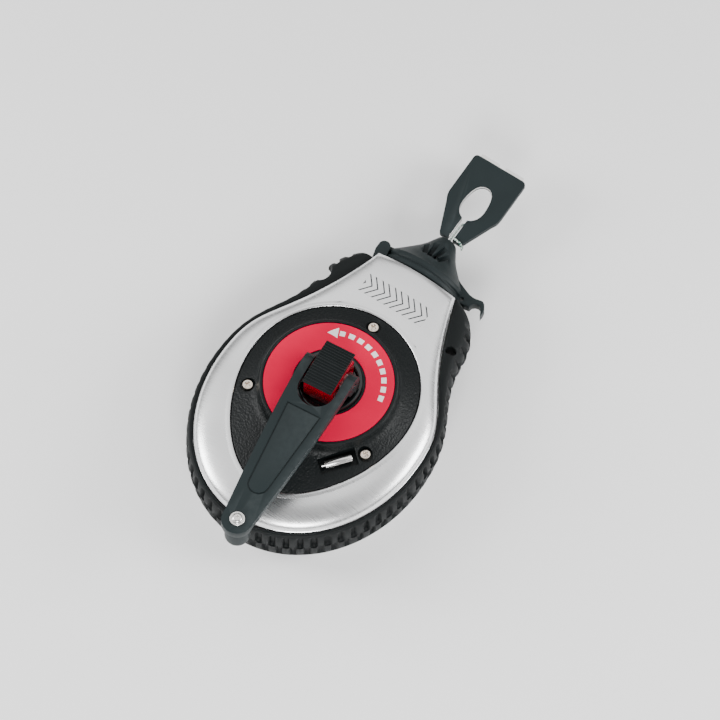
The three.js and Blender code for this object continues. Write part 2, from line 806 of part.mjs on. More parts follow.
function sunGear() {
  const halfTooth = Math.PI / GEAR.sun;
  const stepUp = 1 + GEAR.ring / GEAR.sun;
  const shape = new THREE.Shape(toothCorners(GEAR.sun, halfTooth + stepUp * (Math.PI / 2 + CRANK_REST), 1));
  const teeth = extrudeZ(shape, GEAR.bottomZ + RUN_GAP, GEAR.topZ);
  const sleeve = cylinderZ(SUN_SLEEVE_R, SPOOL.bottomZ, GEAR.bottomZ + 2);
  return teeth.add(sleeve).subtract(cylinderZ(AXLE_R + RUN_GAP, 0, GEAR.topZ + 5));
}

function spool() {
  const { flangeR, flange, hubR, bottomZ, topZ } = SPOOL;
  const boreR = SUN_SLEEVE_R + RUN_GAP;
  return turned([
    [boreR, bottomZ],
    [flangeR, bottomZ],
    [flangeR, bottomZ + flange],
    [hubR, bottomZ + flange],
    [hubR, topZ - flange],
    [flangeR, topZ - flange],
    [flangeR, topZ],
    [boreR, topZ],
  ]);
}

function lineWinding() {
  const { flange, hubR, windingR, bottomZ, topZ } = SPOOL;
  const inner = hubR + SEAT_GAP;
  const z0 = bottomZ + flange + SEAT_GAP;
  const z1 = topZ - flange - SEAT_GAP;
  return turned([
    [inner, z0],
    [windingR - 0.8, z0],
    [windingR, z0 + 2.5],
    [windingR, z1 - 2.5],
    [windingR - 0.8, z1],
    [inner, z1],
  ]);
}

function axle() {
  return cylinderZ(AXLE_R, BACK_WALL + SEAT_GAP, HUB.carrierTopZ - RUN_GAP);
}

// ---------- crank ----------

function crankHub() {
  const { carrierR, carrierBottomZ, carrierTopZ, r, rimTopZ, rimWall, floorZ } = HUB;
  let solid = turned(
    [
      [0, carrierBottomZ],
      [carrierR, carrierBottomZ],
      [carrierR, carrierTopZ],
      [r, carrierTopZ],
      [r, rimTopZ - 0.7],
      [r - 0.7, rimTopZ],
      [r - rimWall + 0.6, rimTopZ],
      [r - rimWall, rimTopZ - 0.6],
      [r - rimWall, floorZ],
      [0, floorZ],
    ],
    ROUND,
    false,
  );
  solid = solid.subtract(cylinderZ(AXLE_R + RUN_GAP, carrierBottomZ - 1, carrierTopZ));
  for (let i = 0; i < PLANETS; i += 1) {
    const turn = planetTurn(i);
    const x = CARRIER_R * Math.cos(turn);
    const y = CARRIER_R * Math.sin(turn);
    const holeTop = carrierBottomZ + 3 + SEAT_GAP;
    solid = solid.subtract(cylinderZ(PLANET_PIN_R + SEAT_GAP, carrierBottomZ - 1, holeTop, 16, x, y));
  }
  return solid;
}

function hubBlock() {
  const { halfWidth, halfLength, topZ } = BLOCK;
  const bottomZ = HUB.floorZ + SEAT_GAP;
  const shape = new THREE.Shape();
  shape.moveTo(-halfLength, bottomZ);
  shape.lineTo(halfLength, bottomZ);
  shape.lineTo(halfLength, HINGE.z);
  shape.quadraticCurveTo(halfLength, topZ - 1.5, halfLength - 2, topZ);
  shape.lineTo(2 - halfLength, topZ);
  shape.quadraticCurveTo(-halfLength, topZ - 1.5, -halfLength, HINGE.z);
  shape.closePath();
  const bossHalf = ARM.forkHalf - RUN_GAP;
  const boss = cylinderX(HINGE.pinR + 3, -bossHalf, bossHalf, 0, HINGE.z);
  const slotHalf = SLIDER_FOOT.halfWidth + RUN_GAP;
  const slotLength = SLIDER_FOOT.halfLength + SLIDER_FOOT.travel + RUN_GAP;
  const slotZ = SLIDER.bottomZ - SLIDER_FOOT.depth - RUN_GAP;
  return extrudeX(shape, -halfWidth, halfWidth, 4)
    .add(boss)
    .subtract(box(-slotHalf, slotHalf, -slotLength, slotLength, slotZ, topZ + 1))
    .subtract(hingeBore());
}

function hingeBore() {
  const reach = ARM.forkHalf + ARM.prong + 1;
  return cylinderX(HINGE.pinR + RUN_GAP, -reach, reach, 0, HINGE.z, 16);
}

function foldHingePin() {
  const reach = ARM.forkHalf + ARM.prong - 0.4;
  return cylinderX(HINGE.pinR, -reach, reach, 0, HINGE.z, 16);
}

function armOutline() {
  const { radius, forkHalf, prong, notchV, tipR, bow } = ARM;
  const outer = forkHalf + prong;
  const shape = new THREE.Shape();
  shape.moveTo(forkHalf, 0);
  shape.lineTo(forkHalf, -notchV);
  shape.absarc(0, -notchV, forkHalf, 0, Math.PI, true);
  shape.lineTo(-forkHalf, 0);
  shape.lineTo(-outer, 0);
  shape.quadraticCurveTo(-outer + 0.2, -bow, -tipR - 0.4, -radius + 6);
  shape.quadraticCurveTo(-tipR, -radius + 3, -tipR, -radius);
  shape.absarc(0, -radius, tipR, Math.PI, 2 * Math.PI, false);
  shape.quadraticCurveTo(tipR, -radius + 3, tipR + 0.4, -radius + 6);
  shape.quadraticCurveTo(outer - 0.2, -bow, outer, 0);
  shape.closePath();
  return shape;
}

function grooveOutline(grow) {
  const { startV, endV, startHalf, endHalf } = ARM_GROOVE;
  const shape = new THREE.Shape();
  shape.moveTo(-startHalf - grow, -startV + grow);
  shape.lineTo(-endHalf - grow, -endV);
  shape.absarc(0, -endV, endHalf + grow, Math.PI, 2 * Math.PI, false);
  shape.lineTo(startHalf + grow, -startV + grow);
  shape.closePath();
  return shape;
}

function crankArm() {
  const { radius, bottomZ, topZ, forkHalf, prong } = ARM;
  let solid = extrudeZ(armOutline(), bottomZ, topZ, 10);
  for (const side of [-1, 1]) {
    const inner = side * forkHalf;
    const outer = side * (forkHalf + prong);
    solid = solid.add(cylinderX(HINGE.knuckleR, Math.min(inner, outer), Math.max(inner, outer), 0, HINGE.z, 24));
  }
  const { depth, width } = ARM_GROOVE;
  const grooveZ = topZ - depth;
  const groove = extrudeZ(grooveOutline(width / 2), grooveZ, topZ + 1, 6).subtract(
    extrudeZ(grooveOutline(-width / 2), grooveZ - 1, topZ + 2, 6),
  );
  return solid
    .subtract(groove)
    .subtract(hingeBore())
    .subtract(cylinderZ(KNOB_SCREW.shankR + RUN_GAP, bottomZ - 1, topZ + 1, 24, 0, -radius));
}

function lockSlider() {
  const { halfWidth, halfLength, bottomZ, topZ, crown, ribs, ribDepth } = SLIDER;
  const shape = new THREE.Shape();
  shape.moveTo(-halfLength, bottomZ);
  shape.lineTo(halfLength, bottomZ);
  const pitch = (2 * halfLength) / ribs;
  for (let i = 0; i < ribs; i += 1) {
    const y = halfLength - i * pitch;
    const level = (at) => topZ - crown * (at / halfLength) ** 2;
    shape.lineTo(y - 0.15 * pitch, level(y - 0.15 * pitch));
    shape.lineTo(y - 0.5 * pitch, level(y - 0.5 * pitch));
    shape.lineTo(y - 0.6 * pitch, level(y - 0.6 * pitch) - ribDepth);
    shape.lineTo(y - 0.95 * pitch, level(y - 0.95 * pitch) - ribDepth);
  }
  shape.closePath();
  const { halfWidth: footHalf, halfLength: footLength, depth } = SLIDER_FOOT;
  const foot = box(-footHalf, footHalf, -footLength, footLength, bottomZ - depth, bottomZ + 0.5);
  return extrudeX(shape, -halfWidth, halfWidth).add(foot);
}

function knob() {
  const { r, neckR, bottomZ, bore } = KNOB;
  const topZ = ARM.bottomZ - RUN_GAP;
  const seatR = KNOB_SCREW.endR + RUN_GAP;
  const seatZ = bottomZ + KNOB_SCREW.endThick + 1 + RUN_GAP;
  return turned(
    [
      [seatR, bottomZ],
      [r - 1.4, bottomZ],
      [r - 0.3, bottomZ + 1],
      [r, bottomZ + 3],
      [neckR, topZ - 1.5],
      [neckR - 0.6, topZ],
      [bore, topZ],
      [bore, seatZ],
      [seatR, seatZ],
    ],
    24,
  ).translate([0, -ARM.radius, 0]);
}

function knobScrew() {
  const { headR, headThick, shankR, hexR, hexDepth, endR, endThick } = KNOB_SCREW;
  const headZ = ARM.topZ + SEAT_GAP;
  const endZ = KNOB.bottomZ + 1;
  const solid = turned(
    [
      [0, endZ],
      [endR, endZ],
      [endR, endZ + endThick],
      [shankR, endZ + endThick],
      [shankR, headZ],
      [headR, headZ],
      [headR, headZ + headThick * 0.45],
      [headR - 1, headZ + headThick],
      [0, headZ + headThick],
    ],
    16,
    false,
  );
  const socketZ = headZ + headThick - hexDepth;
  return solid.subtract(cylinderZ(hexR, socketZ, headZ + headThick + 1, 6)).translate([0, -ARM.radius, 0]);
}

// ---------- lid and nozzle ----------

function ovalSection(y, halfWidth, halfDepth) {
  const points = [];
  for (let i = 0; i < LID_ROUND; i += 1) {
    const angle = (2 * Math.PI * i) / LID_ROUND;
    points.push(new THREE.Vector3(halfWidth * Math.sin(angle), y, BODY.midZ + halfDepth * Math.cos(angle)));
  }
  return points;
}

// The latch's outline, measured from the neck's corner
function latchOutline() {
  const corners = [
    [-7.9, 2.2],
    [2.8, 2.9],
    [6.4, 3.5],
    [6.9, 5.6],
    [8.3, 6.8],
    [9.9, 7.2],
    [11.1, 6.9],
    [12, 5.9],
    [13, 4.2],
    [14, 2.1],
    [14.3, 4.2],
    [13.9, 6.6],
    [12.3, 9.2],
    [10.8, 10],
    [8.8, 9.7],
    [6.1, 9.1],
    [3, 9.4],
    [-0.9, 10.9],
    [-4.4, 12.4],
    [-7.9, 14.4],
  ];
  return shapeFrom(corners.map(([x, y]) => [BODY.neckHalfWidth + x, BODY.neckEndY + y]));
}

function fillLid() {
  const { baseY, tipY, tipR, bandHalfWidth: w, bandHalfDepth: d } = LID;
  const plugW = MOUTH.halfWidth - 0.8;
  const plugD = MOUTH.halfDepth - 0.8;
  const eyeletR = EYELET.outerR + SEAT_GAP;
  const eyeletY = tipY - EYELET.length - SEAT_GAP;
  const sections = [
    ovalSection(PLUG.endY, plugW - PLUG.leadIn, plugD - PLUG.leadIn),
    ovalSection(baseY, plugW, plugD),
    ovalSection(baseY, w - 0.8, d - 0.8),
    ovalSection(baseY + 0.8, w, d),
    ovalSection(baseY + 2.8, w, d),
    ovalSection(baseY + 3.5, w - 1, d - 1),
    ovalSection(baseY + 4.2, w - 1, d - 1),
    ovalSection(baseY + 4.9, w - 0.2, d - 0.2),
    ovalSection(baseY + 7, w - 0.4, d - 0.4),
    ovalSection(baseY + 8.4, w - 1.8, d - 1.8),
    ovalSection(baseY + 10.8, w - 4.4, d - 3),
    ovalSection(baseY + 14, w - 7.6, d - 5),
    ovalSection(baseY + 18.5, 11.8, 8.8),
    ovalSection(baseY + 21.5, 9.4, 7.6),
    ovalSection(baseY + 25, 7.3, 6.5),
    ovalSection(tipY - 0.6, tipR, tipR),
    ovalSection(tipY, tipR - 0.7, tipR - 0.7),
    ovalSection(tipY, eyeletR, eyeletR),
    ovalSection(eyeletY, eyeletR, eyeletR),
    ovalSection(eyeletY, 1.6, 1.6),
    ovalSection(eyeletY - 1, 1.6, 1.6),
    ovalSection(baseY + 18, 7.4, 5.6),
    ovalSection(WIPER.y + WIPER.thick + 0.8, WIPER.halfWidth + 1.4, WIPER.halfDepth + 1.4),
    ovalSection(baseY + 6, plugW - PLUG.wall - 2, plugD - PLUG.wall - 1),
    ovalSection(PLUG.endY, plugW - PLUG.wall, plugD - PLUG.wall),
  ];
  const { x, y, r, pinR, halfHeight, halfKnuckle } = LID_HINGE;
  const { midZ } = BODY;
  const knuckleOutline = new THREE.Shape();
  const rootX = x + r + 1;
  knuckleOutline.moveTo(rootX, y - 3.6);
  knuckleOutline.lineTo(rootX + 4, y - 3.6);
  knuckleOutline.lineTo(rootX + 4, y + r + 1);
  knuckleOutline.lineTo(x, y + r);
  knuckleOutline.absarc(x, y, r, Math.PI / 2, Math.PI * 1.6, false);
  knuckleOutline.closePath();
  const knuckle = extrudeZ(knuckleOutline, midZ - halfKnuckle, midZ + halfKnuckle, 10);
  const latch = extrudeZ(latchOutline(), midZ - LATCH.halfDepth, midZ + LATCH.halfDepth);
  const latchHoleX = BODY.neckHalfWidth + LATCH.holeX;
  const latchHoleY = BODY.neckEndY + LATCH.holeY;
  const latchHole = cylinderZ(LATCH.holeR, midZ - 2 * LATCH.halfDepth, FRONT_Z, 12, latchHoleX, latchHoleY);
  const bracketRoom = (from, to) => cylinderZ(r + 2 * RUN_GAP, midZ + from, midZ + to, 24, x, y);
  const low = halfKnuckle;
  const high = halfHeight + SEAT_GAP;
  return loft(sections, true)
    .subtract(bracketRoom(low, high))
    .subtract(bracketRoom(-high, -low))
    .subtract(hingeBracketRoom(1))
    .subtract(hingeBracketRoom(-1))
    .add(knuckle)
    .add(latch)
    .subtract(latchHole)
    .subtract(cylinderZ(pinR + RUN_GAP, midZ - halfKnuckle - 1, midZ + halfKnuckle + 1, 16, x, y));
}

function alongY(solid, y) {
  return solid.rotate([-90, 0, 0]).translate([0, y, BODY.midZ]);
}

function nozzleEyelet() {
  const { outerR, innerR, length } = EYELET;
  const ring = turned(
    [
      [innerR, 0],
      [outerR, 0],
      [outerR, length],
      [innerR + 0.7, length],
      [innerR, length - 0.7],
    ],
    24,
  );
  return alongY(ring, LID.tipY - length);
}

function feltWiper() {
  const { halfWidth, halfDepth, y, thick } = WIPER;
  return ovalY(halfWidth, halfDepth, y, y + thick, 24).subtract(ovalY(LINE_R + RUN_GAP, LINE_R + RUN_GAP, y - 1, y + thick + 1, 12));
}

function neckSeal() {
  const y0 = BODY.neckEndY - CASE_DEPTH + 2 * SEAT_GAP;
  const y1 = LID.baseY - SEAT_GAP;
  const outer = ovalY(MOUTH.halfWidth + NECK_GAP_WALL - SEAT_GAP, MOUTH.halfDepth + NECK_GAP_WALL - SEAT_GAP, y0, y1);
  return outer.subtract(ovalY(MOUTH.halfWidth - 0.5, MOUTH.halfDepth - 0.5, y0 - 1, y1 + 1));
}

// ---------- line and hook ----------

const LINE_Z = BODY.midZ;
const LEAD_START_Y = BODY.neckEndY - 16.8;

function lineRun() {
  const reach = SPOOL.windingR + LINE_R + SEAT_GAP;
  const endY = LEAD_START_Y - SEAT_GAP;
  const leaveTurn = Math.PI / 2 - Math.acos(reach / endY);
  const start = [reach * Math.cos(leaveTurn), reach * Math.sin(leaveTurn), LINE_Z];
  const middle = [start[0] / 2, (start[1] + endY) / 2, LINE_Z];
  return tubeAlong([start, middle, [0, endY, LINE_Z]], LINE_R, 10);
}

function lineLead() {
  return tubeAlong(
    [
      [0, LEAD_START_Y, LINE_Z],
      [0, LID.baseY, LINE_Z],
      [0, LID.tipY + 0.1, LINE_Z],
    ],
    LINE_R,
    10,
  );
}

function freeLine() {
  // Sideways, above the hook's lower end, and in front of the line
  const route = [
    [0, -1.4, 0],
    [0, 1.1, 0],
    [0, 7.1, -0.1],
    [0.1, 10.7, -0.6],
    [0.5, 12.3, -2.1],
    [1.8, 11.3, -2.8],
    [4.4, 5.9, -2.9],
    [6.8, 1.2, -2.8],
    [7.8, -0.7, -1.5],
    [8, -1.1, 0.3],
    [7.4, -0.6, 2.1],
    [5.6, 0.4, 2.7],
    [3.2, 0.7, 2.7],
    [1, 1.4, 2.6],
  ].map(([x, y, z]) => [x, HOOK.bottomY + y, LINE_Z + z]);
  return tubeAlong(route, LINE_R, 26);
}

function hookOutline(inset) {
  const { bottomY, halfWidth, cornerR } = HOOK;
  const w = halfWidth - inset;
  const top = HOOK_TOP_Y - inset;
  const bottom = bottomY + inset;
  const corner = Math.max(cornerR - inset, 0.6);
  const right = [
    [7.2 - inset * 0.5, bottom + 1.2],
    [14.2 - inset, bottom + 18.4],
    [w, bottom + 24.5],
  ];
  const shape = new THREE.Shape();
  shape.moveTo(0, bottom);
  shape.lineTo(5.4 - inset * 0.5, bottom);
  shape.quadraticCurveTo(right[0][0] - 0.5, bottom, ...right[0]);
  shape.lineTo(...right[1]);
  shape.quadraticCurveTo(w, right[1][1] + 2.6, ...right[2]);
  shape.lineTo(w, top - corner);
  shape.quadraticCurveTo(w, top, w - corner, top);
  shape.lineTo(corner - w, top);
  shape.quadraticCurveTo(-w, top, -w, top - corner);
  shape.lineTo(-w, right[2][1]);
  shape.quadraticCurveTo(-w, right[1][1] + 2.6, -right[1][0], right[1][1]);
  shape.lineTo(-right[0][0], right[0][1]);
  shape.quadraticCurveTo(0.5 - right[0][0], bottom, inset * 0.5 - 5.4, bottom);
  shape.closePath();
  return shape;
}

function keyholeCut(z0, z1) {
  const { slitHalf, slitLength, halfWidth, widestAt, length } = KEYHOLE;
  const { bottomY } = HOOK;
  const slitTopY = bottomY + slitLength;
  const widestY = bottomY + widestAt;
  const topY = bottomY + length;
  const shape = new THREE.Shape();
  shape.moveTo(-slitHalf, bottomY - 5);
  shape.lineTo(slitHalf, bottomY - 5);
  shape.lineTo(slitHalf, slitTopY);
  shape.quadraticCurveTo(halfWidth, slitTopY + 2, halfWidth, widestY);
  shape.quadraticCurveTo(halfWidth - 0.4, topY, 0, topY);
  shape.quadraticCurveTo(0.4 - halfWidth, topY, -halfWidth, widestY);
  shape.quadraticCurveTo(-halfWidth, slitTopY + 2, -slitHalf, slitTopY);
  shape.closePath();
  return extrudeZ(shape, z0, z1, 6);
}

function coreTabs(grow) {
  const half = HOOK.coreThick / 2 + grow;
  const tab = (from, to) =>
    box(from - grow, to + grow, HOOK_TOP_Y - 6, HOOK_TOP_Y + CLAW.reach, LINE_Z - half, LINE_Z + half);
  return tab(-CLAW.outer, -CLAW.inner).add(tab(CLAW.inner, CLAW.outer));
}

function hookCore() {
  const half = HOOK.coreThick / 2;
  const plate = extrudeZ(hookOutline(HOOK.coreInset), LINE_Z - half, LINE_Z + half, 5);
  const bend = (from, to) =>
    box(from, to, HOOK_TOP_Y + CLAW.reach - HOOK.coreThick, HOOK_TOP_Y + CLAW.reach, LINE_Z - CLAW.drop, LINE_Z + half);
  return plate
    .add(coreTabs(0))
    .add(bend(-CLAW.outer, -CLAW.inner))
    .add(bend(CLAW.inner, CLAW.outer))
    .subtract(keyholeCut(0, 2 * LINE_Z));
}

function hookJacket() {
  const half = HOOK.thick / 2;
  const room = HOOK.coreThick / 2 + 0.15;
  const pocket = extrudeZ(hookOutline(HOOK.coreInset - 0.15), LINE_Z - room, LINE_Z + room, 5);
  return extrudeZ(hookOutline(0), LINE_Z - half, LINE_Z + half, 5)
    .subtract(pocket)
    .subtract(coreTabs(0.15))
    .subtract(keyholeCut(0, 2 * LINE_Z));
}

// ---------- the whole reel ----------

const ALUMINIUM = surface(0xc9cccd, 0.35, 0.9);
const RUBBER = surface(0x202628, 0.8, 0);
const PLASTIC = surface(0x2d383a, 0.55, 0);
const RED_PLASTIC = surface(0xb01030, 0.25, 0);
const RED_PRINT = surface(0xe4053c, 0.45, 0);
const STEEL = surface(0xb9bcbe, 0.3, 1);
const NYLON = surface(0xd8d6c8, 0.6, 0);
const LINE = surface(0xdfe8df, 0.8, 0);
const FELT = surface(0x8a8d88, 0.95, 0);

addPiece("front_shell", shell(1), ALUMINIUM);
addPiece("back_shell", shell(-1), ALUMINIUM);
addPiece("front_bumper", guard(1), RUBBER);
addPiece("back_bumper", guard(-1), RUBBER);
addPiece("front_case", frontCase(), PLASTIC);
addPiece("back_case", backCase(), PLASTIC);
addPiece("cover_plate", coverPlate(), PLASTIC);
addPiece("lock_bar", lockBar(), STEEL);
addPiece("label_ring", labelRing(), RED_PRINT);
COVER_SCREW_TURNS.forEach((turn, i) => {
  const [x, y] = polar(COVER_SCREW.circleR, turn);
  addPiece(`cover_screw_${i + 1}`, crossScrew(x, y, COVER_SCREW.headTopZ, 1, COVER_SCREW), STEEL);
});
CASE_SCREWS.forEach(([x, y], i) => {
  addPiece(`case_screw_${i + 1}`, crossScrew(x, y, CASE_SCREW.headDrop, -1, CASE_SCREW), STEEL);
});
addPiece("ring_gear", ringGear(), NYLON);
addPiece("axle", axle(), STEEL);
addPiece("spool", spool(), PLASTIC);
addPiece("sun_gear", sunGear(), NYLON);
addPiece("line_winding", lineWinding(), LINE);
addPiece("line_run", lineRun(), LINE);
addPiece("crank_hub", crankHub(), PLASTIC, crank);
addPiece("hub_block", hubBlock(), RED_PLASTIC, crank);
addPiece("fold_hinge_pin", foldHingePin(), STEEL, crank);
for (let i = 0; i < PLANETS; i += 1) {
  addPiece(`planet_gear_${i + 1}`, planetGear(i), NYLON, crank);
  addPiece(`planet_pin_${i + 1}`, planetPin(i), STEEL, crank);
}
addPiece("crank_arm", crankArm(), PLASTIC, crank);
addPiece("lock_slider", lockSlider(), PLASTIC, crank);
addPiece("knob", knob(), PLASTIC, crank);
addPiece("knob_screw", knobScrew(), STEEL, crank);
addPiece("fill_lid", fillLid(), PLASTIC);
addPiece("lid_hinge_pin", lidHingePin(), STEEL);
addPiece("neck_seal", neckSeal(), RUBBER);
addPiece("felt_wiper", feltWiper(), FELT);
addPiece("nozzle_eyelet", nozzleEyelet(), STEEL);
addPiece("line_lead", lineLead(), LINE);
addPiece("free_line", freeLine(), LINE);
addPiece("hook_core", hookCore(), STEEL);
addPiece("hook_jacket", hookJacket(), PLASTIC);

export default reel;
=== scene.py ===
"""Geared chalk line reel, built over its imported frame. Metres, +Y to the nozzle, +Z out of the front."""

import json
import math

import bpy
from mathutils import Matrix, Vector
from mathutils.kdtree import KDTree


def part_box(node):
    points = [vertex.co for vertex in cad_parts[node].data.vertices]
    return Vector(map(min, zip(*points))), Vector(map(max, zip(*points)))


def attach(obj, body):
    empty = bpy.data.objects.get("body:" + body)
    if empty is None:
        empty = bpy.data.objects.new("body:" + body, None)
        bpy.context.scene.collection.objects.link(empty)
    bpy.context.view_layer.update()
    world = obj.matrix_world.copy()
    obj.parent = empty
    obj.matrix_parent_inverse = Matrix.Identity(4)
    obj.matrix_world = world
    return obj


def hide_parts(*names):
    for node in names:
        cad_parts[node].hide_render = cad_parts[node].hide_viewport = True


bl_info = {
    "name": "Chalk line reel",
    "version": (1, 0, 0),
    "blender": (4, 5, 0),
    "location": "View3D > Sidebar > Reel",
    "description": "Builds a geared chalk line reel with its line, hook and studio",
    "category": "Object",
}

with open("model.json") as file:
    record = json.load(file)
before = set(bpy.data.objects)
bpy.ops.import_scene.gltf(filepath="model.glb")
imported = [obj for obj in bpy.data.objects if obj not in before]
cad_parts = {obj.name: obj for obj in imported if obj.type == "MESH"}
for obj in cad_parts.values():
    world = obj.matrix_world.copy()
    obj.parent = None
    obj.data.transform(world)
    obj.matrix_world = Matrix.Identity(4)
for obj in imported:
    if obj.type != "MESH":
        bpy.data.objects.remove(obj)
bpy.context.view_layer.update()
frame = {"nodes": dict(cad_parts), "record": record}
NODES = frame["nodes"]

# Sizes of the frame that the visible pieces follow, in millimetres
MM = 0.001
MID_Z = 21.5
FRONT_Z = 41.0
HALF_WIDTH = 61.3
BELLY_Y = -11
BELLY_DROP = 72.8
NECK_X = 23.9
NECK_Y = 84.2
CROWN = 5.6
EDGE_H = 10.5
FACE_H = 19.5
SEAT = 0.3
COVER_X = 47.1
COVER_TOP = 49.5
COVER_FOOT = -65.9
GUARD_REACH = 3.8
PAD_X = 44.6
PAD_Y = 60
LABEL_INNER_R = 19.4
LABEL_OUTER_R = 34.5
ARM_LENGTH = 99.3
ARM_TURN = math.radians(4.4)
TIP_Y = NECK_Y + 29.6
HOOK_Y = TIP_Y + 1.9


# ---------- settings ----------


class ReelSizes(bpy.types.PropertyGroup):
    """Sizes of the details that Blender adds to the frame."""

    rib_pitch: bpy.props.FloatProperty(
        name="Rib pitch", description="Distance between the guard's ribs", default=0.0074, unit="LENGTH"
    )
    rib_width: bpy.props.FloatProperty(
        name="Rib width", description="Width of one rib's crest", default=0.0034, unit="LENGTH"
    )
    rib_depth: bpy.props.FloatProperty(
        name="Rib depth", description="Depth of the valleys between ribs", default=0.0021, unit="LENGTH"
    )
    line_radius: bpy.props.FloatProperty(
        name="Line radius", description="Radius of the braided line", default=0.0006, unit="LENGTH"
    )


class ReelColours(bpy.types.PropertyGroup):
    """Colours of the finishes."""

    aluminium: bpy.props.FloatVectorProperty(
        name="Aluminium", description="Brushed shell", subtype="COLOR", default=(0.93, 0.94, 0.95)
    )
    plastic: bpy.props.FloatVectorProperty(
        name="Moulded plastic",
        description="Arm, lid and hook",
        subtype="COLOR",
        default=(0.009, 0.0145, 0.0155),
    )
    rubber: bpy.props.FloatVectorProperty(
        name="Rubber", description="Guard", subtype="COLOR", default=(0.0026, 0.0042, 0.0045)
    )
    label: bpy.props.FloatVectorProperty(
        name="Label", description="Ring label", subtype="COLOR", default=(0.66, 0.0, 0.045)
    )
    # The catch is red plastic; its default is darkened far below the label's red as painted shade for the
    # block's shadow under the arm
    catch: bpy.props.FloatVectorProperty(
        name="Catch", description="Red block on the hub", subtype="COLOR", default=(0.2, 0.0, 0.008)
    )


# ---------- selecting and shaping ----------


def pick_only(piece):
    """Makes a piece the only one selected, in object mode."""
    if bpy.context.mode != "OBJECT":
        bpy.ops.object.mode_set(mode="OBJECT")
    bpy.ops.object.select_all(action="DESELECT")
    piece.select_set(True)
    bpy.context.view_layer.objects.active = piece


def edit_all(piece, *steps):
    """Runs edit-mode steps on the whole of a piece."""
    pick_only(piece)
    bpy.ops.object.mode_set(mode="EDIT")
    bpy.ops.mesh.select_all(action="SELECT")
    for step in steps:
        step()
    bpy.ops.object.mode_set(mode="OBJECT")


def apply_modifier(piece, kind, **values):
    """Adds a modifier and applies it at once."""
    pick_only(piece)
    modifier = piece.modifiers.new(kind.title(), kind)
    for key, value in values.items():
        setattr(modifier, key, value)
    bpy.ops.object.modifier_apply(modifier=modifier.name)


def settle_place(piece):
    """Moves a piece's place, turn and scale into its mesh."""
    pick_only(piece)
    bpy.ops.object.transform_apply(location=True, rotation=True, scale=True)


def smooth(piece, degrees=35):
    """Shades smooth, apart from edges sharper than the angle."""
    pick_only(piece)
    bpy.ops.object.shade_smooth_by_angle(angle=math.radians(degrees))


def extrude_ring(piece, old, new):
    """Extrudes the selected edge ring and moves each new point to its place."""
    tree = KDTree(len(old))
    for index, place in enumerate(old):
        tree.insert(place, index)
    tree.balance()
    first = len(piece.data.vertices)
    bpy.ops.object.mode_set(mode="EDIT")
    bpy.ops.mesh.extrude_edges_move()
    bpy.ops.object.mode_set(mode="OBJECT")
    for vertex in piece.data.vertices[first:]:
        vertex.co = new[tree.find(vertex.co)[1]]


def ring_loft(name, rings, closed=True):
    """A skin through rings of equal counts. Closed joins the last ring to the first."""
    rings = [[Vector(p) * MM for p in ring] for ring in rings]
    if closed:
        rings.append(rings[0])
    bpy.ops.object.select_all(action="DESELECT")
    bpy.ops.mesh.primitive_circle_add(vertices=len(rings[0]), radius=0.01)
    piece = bpy.context.active_object
    piece.name = name
    for vertex, place in zip(piece.data.vertices, rings[0]):
        vertex.co = place
    bpy.ops.object.mode_set(mode="EDIT")
    bpy.ops.mesh.select_mode(type="VERT")
    bpy.ops.mesh.select_all(action="SELECT")
    bpy.ops.object.mode_set(mode="OBJECT")
    for old, new in zip(rings, rings[1:]):
        extrude_ring(piece, old, new)
    edit_all(
        piece,
        lambda: bpy.ops.mesh.remove_doubles(threshold=0.00003),
        lambda: bpy.ops.mesh.normals_make_consistent(inside=False),
    )
    return piece


def turned(name, profile, count=96, centre=(0, 0), closed=True):
    """A turned piece: profile is [radius, z] corners in millimetres."""
    rings = []
    for radius, z in profile:
        radius = max(radius, 0.005)
        rings.append(
            [
                (
                    centre[0] + radius * math.cos(2 * math.pi * i / count),
                    centre[1] + radius * math.sin(2 * math.pi * i / count),
                    z,
                )
                for i in range(count)
            ]
        )
    return ring_loft(name, rings, closed)


def peg(radius, z0, z1, x, y, count=32):
    """A cutter: an upright cylinder, in millimetres."""
    bpy.ops.object.select_all(action="DESELECT")
    bpy.ops.mesh.primitive_cylinder_add(
        vertices=count,
        radius=radius * MM,
        depth=(z1 - z0) * MM,
        location=(x * MM, y * MM, (z0 + z1) / 2 * MM),
    )
    return bpy.context.active_object


def block(size, place, turn=0.0):
    """A cutter: a block turned about its upright axis, in millimetres."""
    bpy.ops.object.select_all(action="DESELECT")
    bpy.ops.mesh.primitive_cube_add(size=1, location=[v * MM for v in place], rotation=(0, 0, turn))
    piece = bpy.context.active_object
    piece.scale = [v * MM for v in size]
    settle_place(piece)
    return piece


def cut(piece, *cutters):
    """Cuts each cutter out of a piece and removes it."""
    for cutter in cutters:
        settle_place(cutter)
        apply_modifier(piece, "BOOLEAN", object=cutter, operation="DIFFERENCE", solver="EXACT")
        bpy.data.objects.remove(cutter)


def from_frame(name, node, edge=None, segments=2, angle=32):
    """A merged copy of a frame part with rounded edges."""
    mesh = NODES[node].data.copy()
    mesh.materials.clear()
    piece = bpy.data.objects.new(name, mesh)
    bpy.context.scene.collection.objects.link(piece)
    edit_all(
        piece,
        lambda: bpy.ops.mesh.remove_doubles(threshold=0.00001),
        lambda: bpy.ops.mesh.dissolve_limited(angle_limit=math.radians(0.6)),
    )
    if edge:
        apply_modifier(
            piece,
            "BEVEL",
            width=edge,
            segments=segments,
            limit_method="ANGLE",
            angle_limit=math.radians(angle),
            use_clamp_overlap=True,
        )
    smooth(piece, angle)
    return piece


def fit_out(piece, body, slot, material, *nodes):
    """Gives a finished piece its body, finish and the frame parts it stands for."""
    piece.data.materials.clear()
    piece.data.materials.append(material)
    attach(piece, body)
    if nodes:
        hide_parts(*nodes)
    return piece


# ---------- outlines ----------


